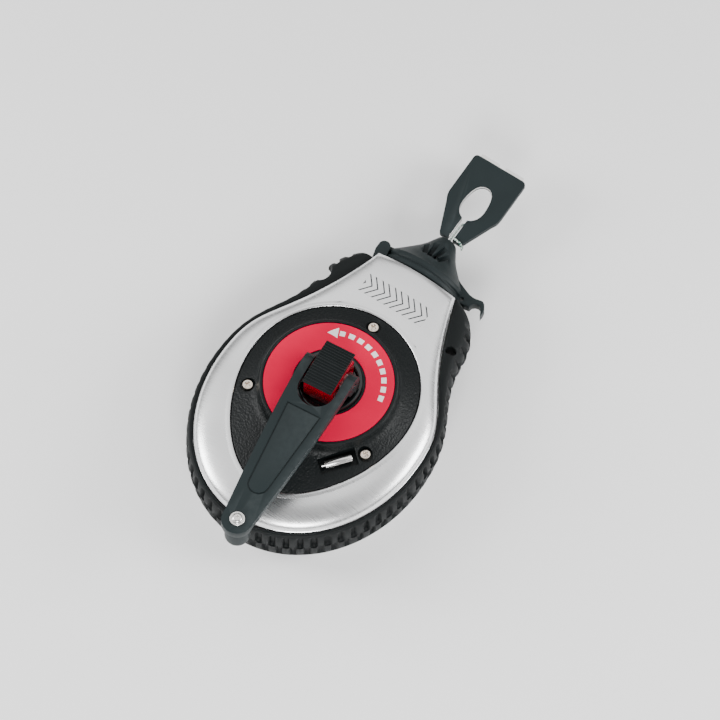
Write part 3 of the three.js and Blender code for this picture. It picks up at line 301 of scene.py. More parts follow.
def bezier(a, b, c, d, t):
    """A point on a cubic curve."""
    k = 1 - t
    return [k**3 * p + 3 * k * k * t * q + 3 * k * t * t * r + t**3 * s for p, q, r, s in zip(a, b, c, d)]


def even(points, count):
    """Points at equal distances along a line of many points."""
    lengths = [0.0]
    for p, q in zip(points, points[1:]):
        lengths.append(lengths[-1] + math.dist(p, q))
    out = []
    j = 0
    for i in range(count + 1):
        want = lengths[-1] * i / count
        while j < len(points) - 2 and lengths[j + 1] < want:
            j += 1
        share = (want - lengths[j]) / max(lengths[j + 1] - lengths[j], 1e-9)
        out.append([p + (q - p) * share for p, q in zip(points[j], points[j + 1])])
    return out


def fine(curve, steps=200):
    """Many points on a curve that runs from 0 to 1."""
    return [curve(i / steps) for i in range(steps + 1)]


def ellipse(cy, rx, ry, a0, a1):
    """An arc of an ellipse whose centre lies on the middle line."""
    return lambda t: [rx * math.cos(a0 + (a1 - a0) * t), cy + ry * math.sin(a0 + (a1 - a0) * t)]


def whole_outline(stretches, steps):
    """A closed outline from the stretches of its right half, foot first."""
    right = []
    for points, count in zip(stretches, steps):
        right += even(points, count)[:-1]
    right.append(stretches[-1][-1])
    return right + [[-x, y] for x, y in reversed(right[1:-1])]


def body_outline(steps):
    """The case: a round belly, a flank that runs in to the neck, and the neck's straight end."""
    belly = fine(ellipse(BELLY_Y, HALF_WIDTH, BELLY_DROP, -math.pi / 2, 0))
    side, corner = (HALF_WIDTH, BELLY_Y), (NECK_X, NECK_Y)
    flank = fine(lambda t: bezier(side, (HALF_WIDTH, 28.7), (45.4, 18.5), corner, t))
    return whole_outline([belly, flank, [[NECK_X, NECK_Y], [0, NECK_Y]]], steps)


def cover_outline(steps):
    """The cover: round at the top and egg-shaped at the foot."""
    shoulder = math.atan2(NECK_Y, NECK_X)
    foot, side = (0, COVER_FOOT), (COVER_X, 0)
    belly = fine(lambda t: bezier(foot, (22, COVER_FOOT), (COVER_X, -31.9), side, t))
    flank = fine(ellipse(0, COVER_X, COVER_TOP, 0, shoulder))
    top = fine(ellipse(0, COVER_X, COVER_TOP, shoulder, math.pi / 2))
    return whole_outline([belly, flank, top], steps)


def guard_outline(steps):
    """The guard: follows the belly and swells into a pad on each side of the neck."""
    wide = HALF_WIDTH + GUARD_REACH
    pad, corner = (PAD_X, PAD_Y), (NECK_X + 1.6, NECK_Y + 0.8)
    belly = fine(ellipse(BELLY_Y, wide, BELLY_DROP + GUARD_REACH, -math.pi / 2, 0))
    low = fine(lambda t: bezier((wide, BELLY_Y), (wide, 28.5), (46.8, 31), pad, t))
    high = fine(lambda t: bezier(pad, (43.6, 73.5), (35.4, 83.5), corner, t))
    return whole_outline([belly, low + high[1:], [list(corner), [0, corner[1]]]], steps)


def inward(line):
    """The inward normal at each point of a closed outline."""
    out = []
    for i in range(len(line)):
        a, b = line[i - 1], line[(i + 1) % len(line)]
        dx, dy = b[0] - a[0], b[1] - a[1]
        size = math.hypot(dx, dy)
        out.append((-dy / size, dx / size))
    return out


def shifted(line, normals, inset):
    """An outline moved inwards."""
    return [(x + inset * nx, y + inset * ny) for (x, y), (nx, ny) in zip(line, normals)]


def mixed(a, b, share):
    """An outline between two others."""
    return [(p + (r - p) * share, q + (s - q) * share) for (p, q), (r, s) in zip(a, b)]


# ---------- node groups ----------


def new_group(name, inputs, outputs):
    """An empty node group: (group, its input node, its output node)."""
    group = bpy.data.node_groups.new(name, "ShaderNodeTree")
    for label, kind, value in inputs:
        socket = group.interface.new_socket(name=label, in_out="INPUT", socket_type=kind)
        if value is not None:
            socket.default_value = value
    for label, kind in outputs:
        group.interface.new_socket(name=label, in_out="OUTPUT", socket_type=kind)
    return group, group.nodes.new("NodeGroupInput"), group.nodes.new("NodeGroupOutput")


def node(tree, kind, values=None, **settings):
    """Adds a node. Values go to its sockets, and a socket given as a value is linked."""
    made = tree.nodes.new(kind)
    for key, value in settings.items():
        setattr(made, key, value)
    for key, value in (values or {}).items():
        if isinstance(value, bpy.types.NodeSocket):
            tree.links.new(value, made.inputs[key])
        else:
            made.inputs[key].default_value = value
    return made


def maths(tree, operation, a, b=None):
    """The result of one maths node."""
    values = {0: a}
    if b is not None:
        values[1] = b
    return node(tree, "ShaderNodeMath", values, operation=operation).outputs[0]


def mottle_group():
    """Slow colour variation and fine speckle, both 0 to 1."""
    group, given, out = new_group(
        "Mottle",
        [("Patch Scale", "NodeSocketFloat", 40.0), ("Speck Scale", "NodeSocketFloat", 2500.0)],
        [("Patches", "NodeSocketFloat"), ("Specks", "NodeSocketFloat")],
    )
    place = node(group, "ShaderNodeTexCoord").outputs["Object"]
    slow = {"Vector": place, "Scale": given.outputs[0], "Detail": 4.0, "Roughness": 0.6}
    patches = node(group, "ShaderNodeTexNoise", slow)
    quick = {"Vector": place, "Scale": given.outputs[1], "Detail": 2.0}
    specks = node(group, "ShaderNodeTexNoise", quick)
    group.links.new(patches.outputs[0], out.inputs[0])
    group.links.new(specks.outputs[0], out.inputs[1])
    return group


def wear_group():
    """Rubbed edges: 1 on sharp outer edges, broken up by noise."""
    group, given, out = new_group(
        "Edge wear",
        [("Threshold", "NodeSocketFloat", 0.53), ("Break Up", "NodeSocketFloat", 300.0)],
        [("Wear", "NodeSocketFloat")],
    )
    point = node(group, "ShaderNodeNewGeometry").outputs["Pointiness"]
    place = node(group, "ShaderNodeTexCoord").outputs["Object"]
    noise = node(group, "ShaderNodeTexNoise", {"Vector": place, "Scale": given.outputs[1], "Detail": 3.0})
    above = maths(group, "SUBTRACT", point, given.outputs[0])
    steep = node(group, "ShaderNodeMath", {0: above, 1: 14.0}, operation="MULTIPLY", use_clamp=True)
    both = {0: steep.outputs[0], 1: noise.outputs[0]}
    broken = node(group, "ShaderNodeMath", both, operation="MULTIPLY", use_clamp=True)
    group.links.new(broken.outputs[0], out.inputs[0])
    return group


def grain_group():
    """Leather-like pebbles: a height for bump."""
    group, given, out = new_group(
        "Pebble grain",
        [("Pebble Scale", "NodeSocketFloat", 900.0)],
        [("Height", "NodeSocketFloat")],
    )
    place = node(group, "ShaderNodeTexCoord").outputs["Object"]
    warp = node(group, "ShaderNodeTexNoise", {"Vector": place, "Scale": 700.0})
    reach = {0: warp.outputs["Color"], 1: (0.0006, 0.0006, 0.0006)}
    bent = node(group, "ShaderNodeVectorMath", reach, operation="MULTIPLY")
    moved = node(group, "ShaderNodeVectorMath", {0: place, 1: bent.outputs[0]}, operation="ADD")
    spots = {"Vector": moved.outputs[0], "Scale": given.outputs[0]}
    cells = node(group, "ShaderNodeTexVoronoi", spots, feature="SMOOTH_F1")
    group.links.new(cells.outputs["Distance"], out.inputs[0])
    return group


GROUPS = {}


def shared(name):
    """Builds each node group once."""
    makers = {"Mottle": mottle_group, "Edge wear": wear_group, "Pebble grain": grain_group}
    if name not in GROUPS:
        GROUPS[name] = makers[name]()
    return GROUPS[name]


def placed(tree, name, values=None):
    """Adds a shared group to a tree."""
    made = tree.nodes.new("ShaderNodeGroup")
    made.node_tree = shared(name)
    for key, value in (values or {}).items():
        made.inputs[key].default_value = value
    return made


# ---------- materials ----------


def blank(name):
    """A new material: (material, node tree, shader)."""
    material = bpy.data.materials.new(name)
    material.use_nodes = True
    tree = material.node_tree
    shader = next(n for n in tree.nodes if n.type == "BSDF_PRINCIPLED")
    return material, tree, shader


def spread(tree, source, low, high):
    """Maps 0 to 1 onto low to high."""
    return node(tree, "ShaderNodeMapRange", {"Value": source, "To Min": low, "To Max": high}).outputs[0]


def blend_colours(tree, factor, a, b):
    """A colour between a and b."""
    made = node(tree, "ShaderNodeMix", data_type="RGBA")
    tree.links.new(factor, made.inputs["Factor"])
    for key, value in ((6, a), (7, b)):
        if isinstance(value, bpy.types.NodeSocket):
            tree.links.new(value, made.inputs[key])
        else:
            made.inputs[key].default_value = (*value, 1) if len(value) == 3 else value
    return made.outputs[2]


def bump(tree, shader, height, distance, strength=1.0):
    """Bumps the surface by a height."""
    made = node(tree, "ShaderNodeBump", {"Height": height, "Distance": distance, "Strength": strength})
    tree.links.new(made.outputs[0], shader.inputs["Normal"])
    return made


def scaled(colour, factor):
    """A colour made lighter or darker."""
    return tuple(min(1.0, v * factor) for v in colour)


def moulded(
    name,
    colour,
    rough=(0.42, 0.55),
    patch=30.0,
    speck=2600.0,
    depth=0.00003,
    wear=0.5,
    grain=None,
    coat=0.0,
    metallic=0.0,
    contrast=0.25,
):
    """Moulded or plated stock: mottled colour, rubbed edges and a fine or pebbled surface."""
    material, tree, shader = blank(name)
    mottle = placed(tree, "Mottle", {"Patch Scale": patch, "Speck Scale": speck})
    edge = placed(tree, "Edge wear", {})
    dark, light = scaled(colour, 1 - contrast), scaled(colour, 1 + contrast)
    base = blend_colours(tree, mottle.outputs[0], dark, light)
    rubbed = maths(tree, "MULTIPLY", edge.outputs[0], wear)
    colour_out = blend_colours(tree, rubbed, base, scaled(tuple(v + 0.02 for v in colour), 1.6))
    tree.links.new(colour_out, shader.inputs["Base Color"])
    tree.links.new(spread(tree, mottle.outputs[1], *rough), shader.inputs["Roughness"])
    shader.inputs["Metallic"].default_value = metallic
    shader.inputs["Coat Weight"].default_value = coat
    shader.inputs["Specular IOR Level"].default_value = 0.22 if metallic < 0.5 else 0.5
    height = mottle.outputs[1]
    if grain:
        height = placed(tree, "Pebble grain", {"Pebble Scale": grain}).outputs[0]
    bump(tree, shader, height, depth)
    return material


def brushed(name, colour):
    """Brushed aluminium with broad bands of painted reflection darkening its colour, and an embossed row of
    plain chevrons on the neck.
    """
    material, tree, shader = blank(name)
    place = node(tree, "ShaderNodeTexCoord").outputs["Object"]
    hair_scale = {"Vector": place, "Scale": (70.0, 2600.0, 300.0)}
    hair_place = node(tree, "ShaderNodeMapping", hair_scale).outputs[0]
    hair_noise = {"Vector": hair_place, "Scale": 1.0, "Detail": 3.0}
    hairs = node(tree, "ShaderNodeTexNoise", hair_noise).outputs[0]
    mottle = placed(tree, "Mottle", {"Patch Scale": 45.0, "Speck Scale": 2200.0})
    # Painted reflection: broad noise darkens the metal's own colour in soft bands, standing in for the dark
    # bands that the mirrored surroundings give
    broad_scale = {"Vector": place, "Scale": (9.0, 32.0, 20.0)}
    broad_place = node(tree, "ShaderNodeMapping", broad_scale).outputs[0]
    broad_noise = {"Vector": broad_place, "Scale": 1.0, "Detail": 1.0}
    broad = node(tree, "ShaderNodeTexNoise", broad_noise).outputs[0]
    painted_reflection_bands = spread(tree, broad, 0.25, 1.5)
    grain = maths(tree, "MULTIPLY", maths(tree, "ADD", hairs, mottle.outputs[0]), 0.5)
    streaked = blend_colours(tree, grain, scaled(colour, 0.84), scaled(colour, 1.08))
    base = blend_colours(tree, painted_reflection_bands, scaled(colour, 0.62), streaked)
    emboss, line = chevrons(tree, place)
    marked = blend_colours(tree, line, base, (0.05, 0.052, 0.055))
    tree.links.new(marked, shader.inputs["Base Color"])
    tree.links.new(spread(tree, hairs, 0.2, 0.38), shader.inputs["Roughness"])
    shader.inputs["Metallic"].default_value = 1.0
    raised = maths(tree, "MULTIPLY", emboss, 30.0)
    height = maths(tree, "ADD", raised, maths(tree, "ADD", hairs, mottle.outputs[1]))
    bump(tree, shader, height, 0.000022)
    return material


CHEVRON_Y = 0.0635
CHEVRON_PITCH = 0.0078


def chevrons(tree, place):
    """Leaning bars in outline across the neck: (raised mask, outline mask)."""
    x, y, z = node(tree, "ShaderNodeSeparateXYZ", {0: place}).outputs
    rise = maths(tree, "ABSOLUTE", maths(tree, "SUBTRACT", y, CHEVRON_Y))
    lean = maths(tree, "ADD", x, maths(tree, "MULTIPLY", rise, 0.8))
    steps = maths(tree, "DIVIDE", maths(tree, "ADD", lean, 0.2), CHEVRON_PITCH)
    across = maths(tree, "ABSOLUTE", maths(tree, "SUBTRACT", maths(tree, "FRACT", steps), 0.5))
    in_row = maths(tree, "LESS_THAN", rise, 0.0058)
    in_width = maths(tree, "LESS_THAN", maths(tree, "ABSOLUTE", x), 0.0195)
    front = maths(tree, "GREATER_THAN", z, 0.035)
    room = maths(tree, "MULTIPLY", maths(tree, "MULTIPLY", in_row, in_width), front)
    raised = maths(tree, "MULTIPLY", maths(tree, "LESS_THAN", across, 0.27), room)
    off_edge = maths(tree, "ABSOLUTE", maths(tree, "SUBTRACT", across, 0.27))
    near = maths(tree, "LESS_THAN", off_edge, 0.055)
    return raised, maths(tree, "MULTIPLY", near, room)


PRINT_RADIUS = 0.0289
DASHES_PER_TURN = 34.0


def printed_label(name, colour):
    """Red print with a white rewind arrow and a ring of dashes."""
    material, tree, shader = blank(name)
    place = node(tree, "ShaderNodeTexCoord").outputs["Object"]
    x, y, _ = node(tree, "ShaderNodeSeparateXYZ", {0: place}).outputs
    squares = maths(tree, "ADD", maths(tree, "MULTIPLY", x, x), maths(tree, "MULTIPLY", y, y))
    radius = maths(tree, "SQRT", squares)
    angle = maths(tree, "ARCTAN2", y, x)
    turns = maths(tree, "ADD", maths(tree, "DIVIDE", angle, 2 * math.pi), 1.0)
    dash_turn = maths(tree, "FRACT", maths(tree, "MULTIPLY", turns, DASHES_PER_TURN))
    dash = maths(tree, "LESS_THAN", dash_turn, 0.62)
    off = maths(tree, "ABSOLUTE", maths(tree, "SUBTRACT", radius, PRINT_RADIUS))
    band = maths(tree, "LESS_THAN", off, 0.0014)
    from_a = maths(tree, "GREATER_THAN", angle, 0.16)
    to_b = maths(tree, "LESS_THAN", angle, 1.95)
    arc = maths(tree, "MULTIPLY", from_a, to_b)
    dashes = maths(tree, "MULTIPLY", maths(tree, "MULTIPLY", dash, band), arc)
    head_width = maths(tree, "MULTIPLY", maths(tree, "SUBTRACT", 2.18, angle), 0.015)
    past_arc = maths(tree, "GREATER_THAN", angle, 1.98)
    head = maths(tree, "MULTIPLY", maths(tree, "LESS_THAN", off, head_width), past_arc)
    both = node(tree, "ShaderNodeMath", {0: dashes, 1: head}, operation="ADD", use_clamp=True)
    white = both.outputs[0]
    mottle = placed(tree, "Mottle", {"Patch Scale": 60.0, "Speck Scale": 1800.0})
    base = blend_colours(tree, mottle.outputs[0], scaled(colour, 0.9), scaled(colour, 1.08))
    tree.links.new(blend_colours(tree, white, base, (0.85, 0.83, 0.82)), shader.inputs["Base Color"])
    tree.links.new(spread(tree, mottle.outputs[1], 0.34, 0.46), shader.inputs["Roughness"])
    shader.inputs["Specular IOR Level"].default_value = 0.04
    bump(tree, shader, mottle.outputs[1], 0.00001)
    return material


def braided(name):
    """White line with green flecks."""
    material, tree, shader = blank(name)
    place = node(tree, "ShaderNodeTexCoord").outputs["Object"]
    slant = {"Vector": place, "Rotation": (0.5, 0.4, 0.7)}
    turned_place = node(tree, "ShaderNodeMapping", slant).outputs[0]
    checks = node(tree, "ShaderNodeTexChecker", {"Vector": turned_place, "Scale": 900.0}).outputs[1]
    mottle = placed(tree, "Mottle", {"Patch Scale": 400.0, "Speck Scale": 5000.0})
    light = blend_colours(tree, mottle.outputs[1], (0.62, 0.7, 0.64), (0.85, 0.9, 0.85))
    tree.links.new(blend_colours(tree, checks, light, (0.04, 0.12, 0.09)), shader.inputs["Base Color"])
    tree.links.new(spread(tree, mottle.outputs[1], 0.7, 0.9), shader.inputs["Roughness"])
    bump(tree, shader, checks, 0.00012)
    return material


# What differs from the usual moulded surface, for each finish
STEEL_FINISH = {
    "patch": 200.0, "speck": 3000.0, "depth": 0.00001, "wear": 0.2, "metallic": 1.0, "contrast": 0.1
}
COVER_FINISH = {"rough": (0.36, 0.5), "speck": 2400.0, "depth": 0.00022, "wear": 0.4, "grain": 1000.0}
SLIDER_FINISH = {"rough": (0.35, 0.5), "depth": 0.00005, "grain": 1600.0}
HUB_FINISH = {"rough": (0.1, 0.2), "depth": 0.000008, "wear": 0.3, "coat": 0.6}
CATCH_FINISH = {
    "rough": (0.14, 0.26), "patch": 60.0, "speck": 1500.0, "depth": 0.00001, "wear": 0.2, "coat": 0.7
}
RUBBER_FINISH = {"rough": (0.5, 0.66), "patch": 25.0, "speck": 1800.0, "depth": 0.00006, "wear": 0.35}
FLOOR_FINISH = {
    "rough": (0.6, 0.75), "patch": 4.0, "speck": 400.0, "depth": 0.00001, "wear": 0.0, "contrast": 0.02
}
HOOK_FINISH = {"rough": (0.45, 0.58), "patch": 40.0, "speck": 3000.0, "depth": 0.00002}
ARM_FINISH = {"rough": (0.42, 0.52), "patch": 22.0, "speck": 3200.0}
NYLON_FINISH = {"rough": (0.4, 0.55), "patch": 80.0, "speck": 2000.0, "depth": 0.00002, "wear": 0.2}
FELT_FINISH = {"rough": (0.85, 0.97), "patch": 300.0, "speck": 4000.0, "depth": 0.0002, "wear": 0.1}


def moulded_stocks(colours):
    """Colour and surface of each moulded or plated finish."""
    plastic = tuple(colours.plastic)
    return {
        "Guard rubber": (tuple(colours.rubber), RUBBER_FINISH),
        "Case plastic": (plastic, {"rough": (0.4, 0.55)}),
        "Arm plastic": (scaled(plastic, 1.1), ARM_FINISH),
        "Leather grain cover": (scaled(plastic, 0.3), COVER_FINISH),
        "Ribbed slider": (scaled(plastic, 0.4), SLIDER_FINISH),
        "Hub recess": (scaled(plastic, 0.35), HUB_FINISH),
        "Hook jacket": (scaled(plastic, 1.15), HOOK_FINISH),
        # The catch's darkened red is partly its plastic's colour and partly painted shade
        "Red catch": (tuple(colours.catch), CATCH_FINISH),
        "Bright steel": ((0.84, 0.83, 0.81), {**STEEL_FINISH, "rough": (0.16, 0.28)}),
        "Warm screw steel": ((0.8, 0.7, 0.6), {**STEEL_FINISH, "rough": (0.2, 0.3)}),
        "Gear nylon": ((0.66, 0.63, 0.52), NYLON_FINISH),
        "Felt": ((0.2, 0.21, 0.2), FELT_FINISH),
        "Pale floor": ((0.97, 0.97, 0.97), FLOOR_FINISH),
    }


def new_finish(name):
    """Builds one finish."""
    colours = bpy.context.scene.reel_colours
    if name == "Brushed aluminium":
        return brushed(name, tuple(colours.aluminium))
    if name == "Label print":
        return printed_label(name, tuple(colours.label))
    if name == "Braided line":
        return braided(name)
    colour, surface = moulded_stocks(colours)[name]
    return moulded(name, colour, **surface)


MATERIALS = {}


def finish_named(name):
    """Builds each finish once."""
    if name not in MATERIALS:
        MATERIALS[name] = new_finish(name)
    return MATERIALS[name]


# ---------- stage and line ----------

CAMERA_AZIMUTH = math.radians(33.3)
CAMERA_ELEVATION = math.radians(64.4)
VIEW_WIDTH = 377.4
AIM = (-16.35, 11.7)


class REEL_OT_stage(bpy.types.Operator):
    """Adds the camera, the pale floor, the soft lights and the grey surround."""

    bl_idname = "reel.stage"
    bl_label = "Stage"

    # (height or nearness from 0 to 1, brightness) of the surround, and its dark gap
    LEVELS = ((0.45, 0.55), (0.56, 0.12), (0.7, 0.4), (0.8, 1.0), (1.0, 1.0))
    GAP_WAY = (0.2745, -0.418, 0.866)
    GAP_LEVELS = ((0.5, 1.0), (0.72, 0.95), (0.86, 0.3), (1.0, 0.22))

    def execute(self, context):
        self.add_camera()
        self.add_floor()
        self.add_light("Key", (0.5, -0.8, 0.75), 0.5, 11.0)
        self.add_light("Fill", (0.75, 0.35, 0.5), 0.4, 6.0)
        self.add_light("Side", (-0.75, -0.35, 0.5), 0.4, 6.0)
        self.add_surround(context.scene)
        return {"FINISHED"}

    def add_camera(self):
        """Adds the camera, which looks down on the front from beyond the foot, to the right."""
        sin_a, cos_a = math.sin(CAMERA_AZIMUTH), math.cos(CAMERA_AZIMUTH)
        sin_e, cos_e = math.sin(CAMERA_ELEVATION), math.cos(CAMERA_ELEVATION)
        back = Vector((sin_a * cos_e, -cos_a * cos_e, sin_e))
        right = Vector((cos_a, sin_a, 0))
        up = back.cross(right)
        target = Vector((0, 0, 0.051)) - right * AIM[0] * MM + up * AIM[1] * MM
        bpy.ops.object.camera_add(location=target + back * 0.9)
        camera = bpy.context.active_object
        camera.name = "Camera"
        camera.rotation_euler = (-back).to_track_quat("-Z", "Y").to_euler()
        camera.data.type = "ORTHO"
        camera.data.ortho_scale = VIEW_WIDTH * MM
        bpy.context.scene.camera = camera

    def add_floor(self):
        """Adds the floor just under the reel."""
        bpy.ops.object.select_all(action="DESELECT")
        bpy.ops.mesh.primitive_plane_add(size=6, location=(0, 0, -0.0006))
        floor = bpy.context.active_object
        floor.name = "floor"
        floor.data.materials.append(finish_named("Pale floor"))

    def add_light(self, name, place, size, power):
        """Adds a square light that faces the reel."""
        bpy.ops.object.light_add(type="AREA", location=place)
        light = bpy.context.active_object
        light.name = name
        light.data.size = size
        light.data.energy = power
        light.rotation_euler = (-Vector(place)).to_track_quat("-Z", "Y").to_euler()

    def add_surround(self, scene):
        """Adds grey studio walls for the metal to mirror."""
        world = bpy.data.worlds.new("Studio surround")
        scene.world = world
        world.use_nodes = True
        tree = world.node_tree
        back = next(n for n in tree.nodes if n.type == "BACKGROUND")
        way = node(tree, "ShaderNodeTexCoord").outputs["Generated"]
        height = node(tree, "ShaderNodeSeparateXYZ", {0: way}).outputs[2]
        rise = maths(tree, "ADD", maths(tree, "MULTIPLY", height, 0.5), 0.5)
        level = self.grey_steps(tree, rise, self.LEVELS)
        turn = {0: way, 1: self.GAP_WAY}
        near = node(tree, "ShaderNodeVectorMath", turn, operation="DOT_PRODUCT")
        gap = self.grey_steps(tree, near.outputs["Value"], self.GAP_LEVELS)
        shade = maths(tree, "MULTIPLY", level, gap)
        tree.links.new(maths(tree, "MULTIPLY", shade, 1.45), back.inputs[1])
        back.inputs[0].default_value = (1, 1, 1, 1)

    def grey_steps(self, tree, source, steps):
        """A smooth grey level over a value, from (position, level) steps."""
        ramp = node(tree, "ShaderNodeValToRGB", {0: source})
        ramp.color_ramp.interpolation = "EASE"
        stops = ramp.color_ramp.elements
        for stop, (position, level) in zip(stops, (steps[0], steps[-1])):
            stop.position, stop.color = position, (level, level, level, 1)
        for position, level in steps[1:-1]:
            stops.new(position).color = (level, level, level, 1)
        return ramp.outputs[0]


# The line from the nozzle and round the hook's lobe, measured from the hook's near end
LINE_ROUTE = [
    (0, -1.4, 0),
    (0, 1.1, 0),
    (0, 7.1, -0.1),
    (0.1, 10.7, -0.6),
    (0.5, 12.3, -2.1),
    (1.8, 11.3, -2.8),
    (4.4, 5.9, -2.9),
    (6.8, 1.2, -2.8),
    (7.8, -0.7, -1.5),
    (8, -1.1, 0.3),
    (7.4, -0.6, 2.1),
    (5.6, 0.4, 2.7),
    (3.2, 0.7, 2.7),
    (1, 1.4, 2.6),
]


def through(points, per_span):
    """A smooth line through points."""
    out = []
    for i in range(len(points) - 1):
        a, b, c, d = (Vector(points[min(max(i + k, 0), len(points) - 1)]) for k in (-1, 0, 1, 2))
        square, cube = 2 * a - 5 * b + 4 * c - d, 3 * b - 3 * c + d - a
        for j in range(per_span):
            t = j / per_span
            out.append(0.5 * (2 * b + (c - a) * t + square * t * t + cube * t**3))
    out.append(Vector(points[-1]))
    return out


class REEL_OT_line(bpy.types.Operator):
    """Makes the braided line from the nozzle through the hook's slit."""

    bl_idname = "reel.line"
    bl_label = "Line"

    def execute(self, context):
        radius = context.scene.reel_sizes.line_radius / MM
        path = through([(x, HOOK_Y + y, MID_Z + z) for x, y, z in LINE_ROUTE], 5)
        rings = self.rings_along(path, radius)
        first = [path[0] + 0.02 * (p - path[0]) for p in rings[0]]
        last = [path[-1] + 0.02 * (p - path[-1]) for p in rings[-1]]
        line = ring_loft("braided_line", [first, *rings, last], closed=False)
        edit_all(line, lambda: bpy.ops.mesh.remove_doubles(threshold=0.00004))
        smooth(line, 60)
        fit_out(line, "hook", "line", finish_named("Braided line"), "free_line")
        return {"FINISHED"}

    def rings_along(self, path, radius):
        """Rings square to the path, drawn in a little at its ends."""
        rings = []
        side = Vector((1, 0, 0))
        for i, place in enumerate(path):
            along = (path[min(i + 1, len(path) - 1)] - path[max(i - 1, 0)]).normalized()
            side = (side - along * side.dot(along)).normalized()
            up = along.cross(side)
            end = i in (0, len(path) - 1)
            reach = radius * (0.75 if end else 1)
            turns = [math.pi * k / 6 for k in range(12)]
            rings.append([place + reach * (math.cos(a) * side + math.sin(a) * up) for a in turns])
        return rings


# ---------- case ----------

SHELL_STEPS = (60, 60, 12)
# (height above mid-depth, inset) up the outer wall, with a groove round its top
SHELL_WALL = [(3, 0), (8, 0), (10.6, 0), (11.3, 0.1), (11.6, 0.45), (12.0, 0.45), (12.3, 0.12)]
# (height, inset from the cover's outline) over the edge that is rolled in round the cover
SHELL_ROLL = [(19.45, -3.2), (19.75, -2.2), (20.0, -1.4), (19.95, -0.8)]
SHELL_ROLL += [(19.6, -0.4), (18.6, -0.3), (17.9, -0.3)]
# (share of the way to the cover, height, inset, drop) down the inner face
SHELL_INSIDE = [(0.86, 19.3, 0, 1.2), (0.56, 18.6, 0.4, 1.2), (0.26, 16.9, 0.8, 0.9)]
SHELL_INSIDE += [(0, 10.5, 1.2), (0, 3, 1.2)]


def crowned(height, x, y):
    """A height above mid-depth, raised along the neck's domed end."""
    crown = CROWN * (1 - (x / NECK_X) ** 2) if y > NECK_Y - 0.01 else 0
    if height <= EDGE_H:
        return height * (1 + crown / EDGE_H)
    return height + crown * max(0, FACE_H - height) / (FACE_H - EDGE_H)


def shoulder_line(count):
    """The shell's shoulder: (share of the way to the cover, height)."""
    stations = [(0, 10.5, 0), (0.06, 14.4, 0), (0.26, 16.9, 0), (0.56, 18.6, 0), (0.86, 19.3, 0)]
    return [(p.x, p.y) for p in through(stations, count)]


def shell_rings(side):
    """Rings round one shell: up the outside, over the rolled edge and back down the inside."""
    body, cover = body_outline(SHELL_STEPS), cover_outline(SHELL_STEPS)
    body_in, cover_in = inward(body), inward(cover)

    def skin(share, height, inset=0.0, drop=0.0):
        line = shifted(mixed(body, cover, share), body_in, inset)
        return [
            (x, y, MID_Z + side * (crowned(height, *edge) - drop)) for (x, y), edge in zip(line, body)
        ]

    def lip(height, inset):
        return [(x, y, MID_Z + side * height) for x, y in shifted(cover, cover_in, inset)]

    outside = [skin(0, height, inset) for height, inset in SHELL_WALL]
    outside += [skin(*station) for station in shoulder_line(4) if station[1] > 12.6]
    rolled = [lip(height, inset) for height, inset in SHELL_ROLL]
    inside = [skin(*station) for station in SHELL_INSIDE]
    return outside + rolled + inside


def guard_wave(line, pitch, width, phase):
    """How far each point lies in the valley between ribs, 0 on a crest, and its turn along the wave."""
    sizes = [0.0]
    for p, q in zip(line, line[1:]):
        sizes.append(sizes[-1] + math.dist(p, q))
    middle = sizes[len(line) // 2]
    out = []
    for s, (x, y) in zip(sizes, line):
        turn = ((s - middle) / pitch + phase) % 1
        off = min(turn, 1 - turn) * pitch
        rise = min(max((off - width / 2) / 0.9, 0), 1)
        fade = min(max((80 - y) / 5, 0), 1)
        out.append((rise * rise * (3 - 2 * rise) * fade, turn))
    return out


GUARD_STEPS = (118, 116, 10)
# (height, share of the way to the outer outline, strength of the ribs)
GUARD_PROFILE = [
    (0, 1.0, 0.4),
    (0.7, 1.0, 1),
    (3.5, 1.0, 1),
    (6, 0.96, 1),
    (7.8, 0.88, 0.9),
    (8.9, 0.8, 0.45),
    (9.6, 0.74, 0.05),
    (10.2, 0.66, 0),
    (10.75, 0.5, 0),
    (10.85, 0.34, 0),
    (10.6, 0.16, 0),
    (10.4, 0, 0),
]


def guard_rings(side, sizes):
    """Rings round one half of the guard, with its ribs."""
    body, outer = body_outline(GUARD_STEPS), guard_outline(GUARD_STEPS)
    body_in = inward(body)
    inner = shifted(body, body_in, -SEAT)
    pitch, width, depth = (v / MM for v in (sizes.rib_pitch, sizes.rib_width, sizes.rib_depth))
    wave = guard_wave(outer, pitch, width, 0 if side > 0 else 0.5)
    seam = guard_wave(outer, pitch, width, 0)

    def level(height, i):
        lift = 0.75 * math.cos(2 * math.pi * seam[i][1]) * max(0, 1 - height / 6)
        return MID_Z + side * (height + 0.15) + lift

    rings = [[(x, y, level(0, i)) for i, (x, y) in enumerate(inner)]]
    for height, share, strength in GUARD_PROFILE:
        line = mixed(inner, outer, share)
        ring = []
        for i, ((x, y), (nx, ny)) in enumerate(zip(line, body_in)):
            sink = depth * strength * wave[i][0]
            ring.append((x + nx * sink, y + ny * sink, level(height, i)))
        rings.append(ring)
    return rings


class REEL_OT_shells(bpy.types.Operator):
    """Makes the two brushed aluminium shells."""

    bl_idname = "reel.shells"
    bl_label = "Shells"

    def execute(self, context):
        for side, name in ((1, "front_shell"), (-1, "back_shell")):
            shell = ring_loft(name + "_skin", shell_rings(side))
            cut(shell, self.neck_hole())
            smooth(shell, 40)
            fit_out(shell, "case", "aluminium", finish_named("Brushed aluminium"), name)
        return {"FINISHED"}

    def neck_hole(self):
        """A cutter: the filling neck's oval."""
        bpy.ops.object.select_all(action="DESELECT")
        bpy.ops.mesh.primitive_cylinder_add(
            vertices=64,
            radius=1,
            depth=0.02,
            location=(0, 0.0834, MID_Z * MM),
            rotation=(math.pi / 2, 0, 0),
        )
        hole = bpy.context.active_object
        hole.scale = (0.0206, 0.0142, 1)
        return hole


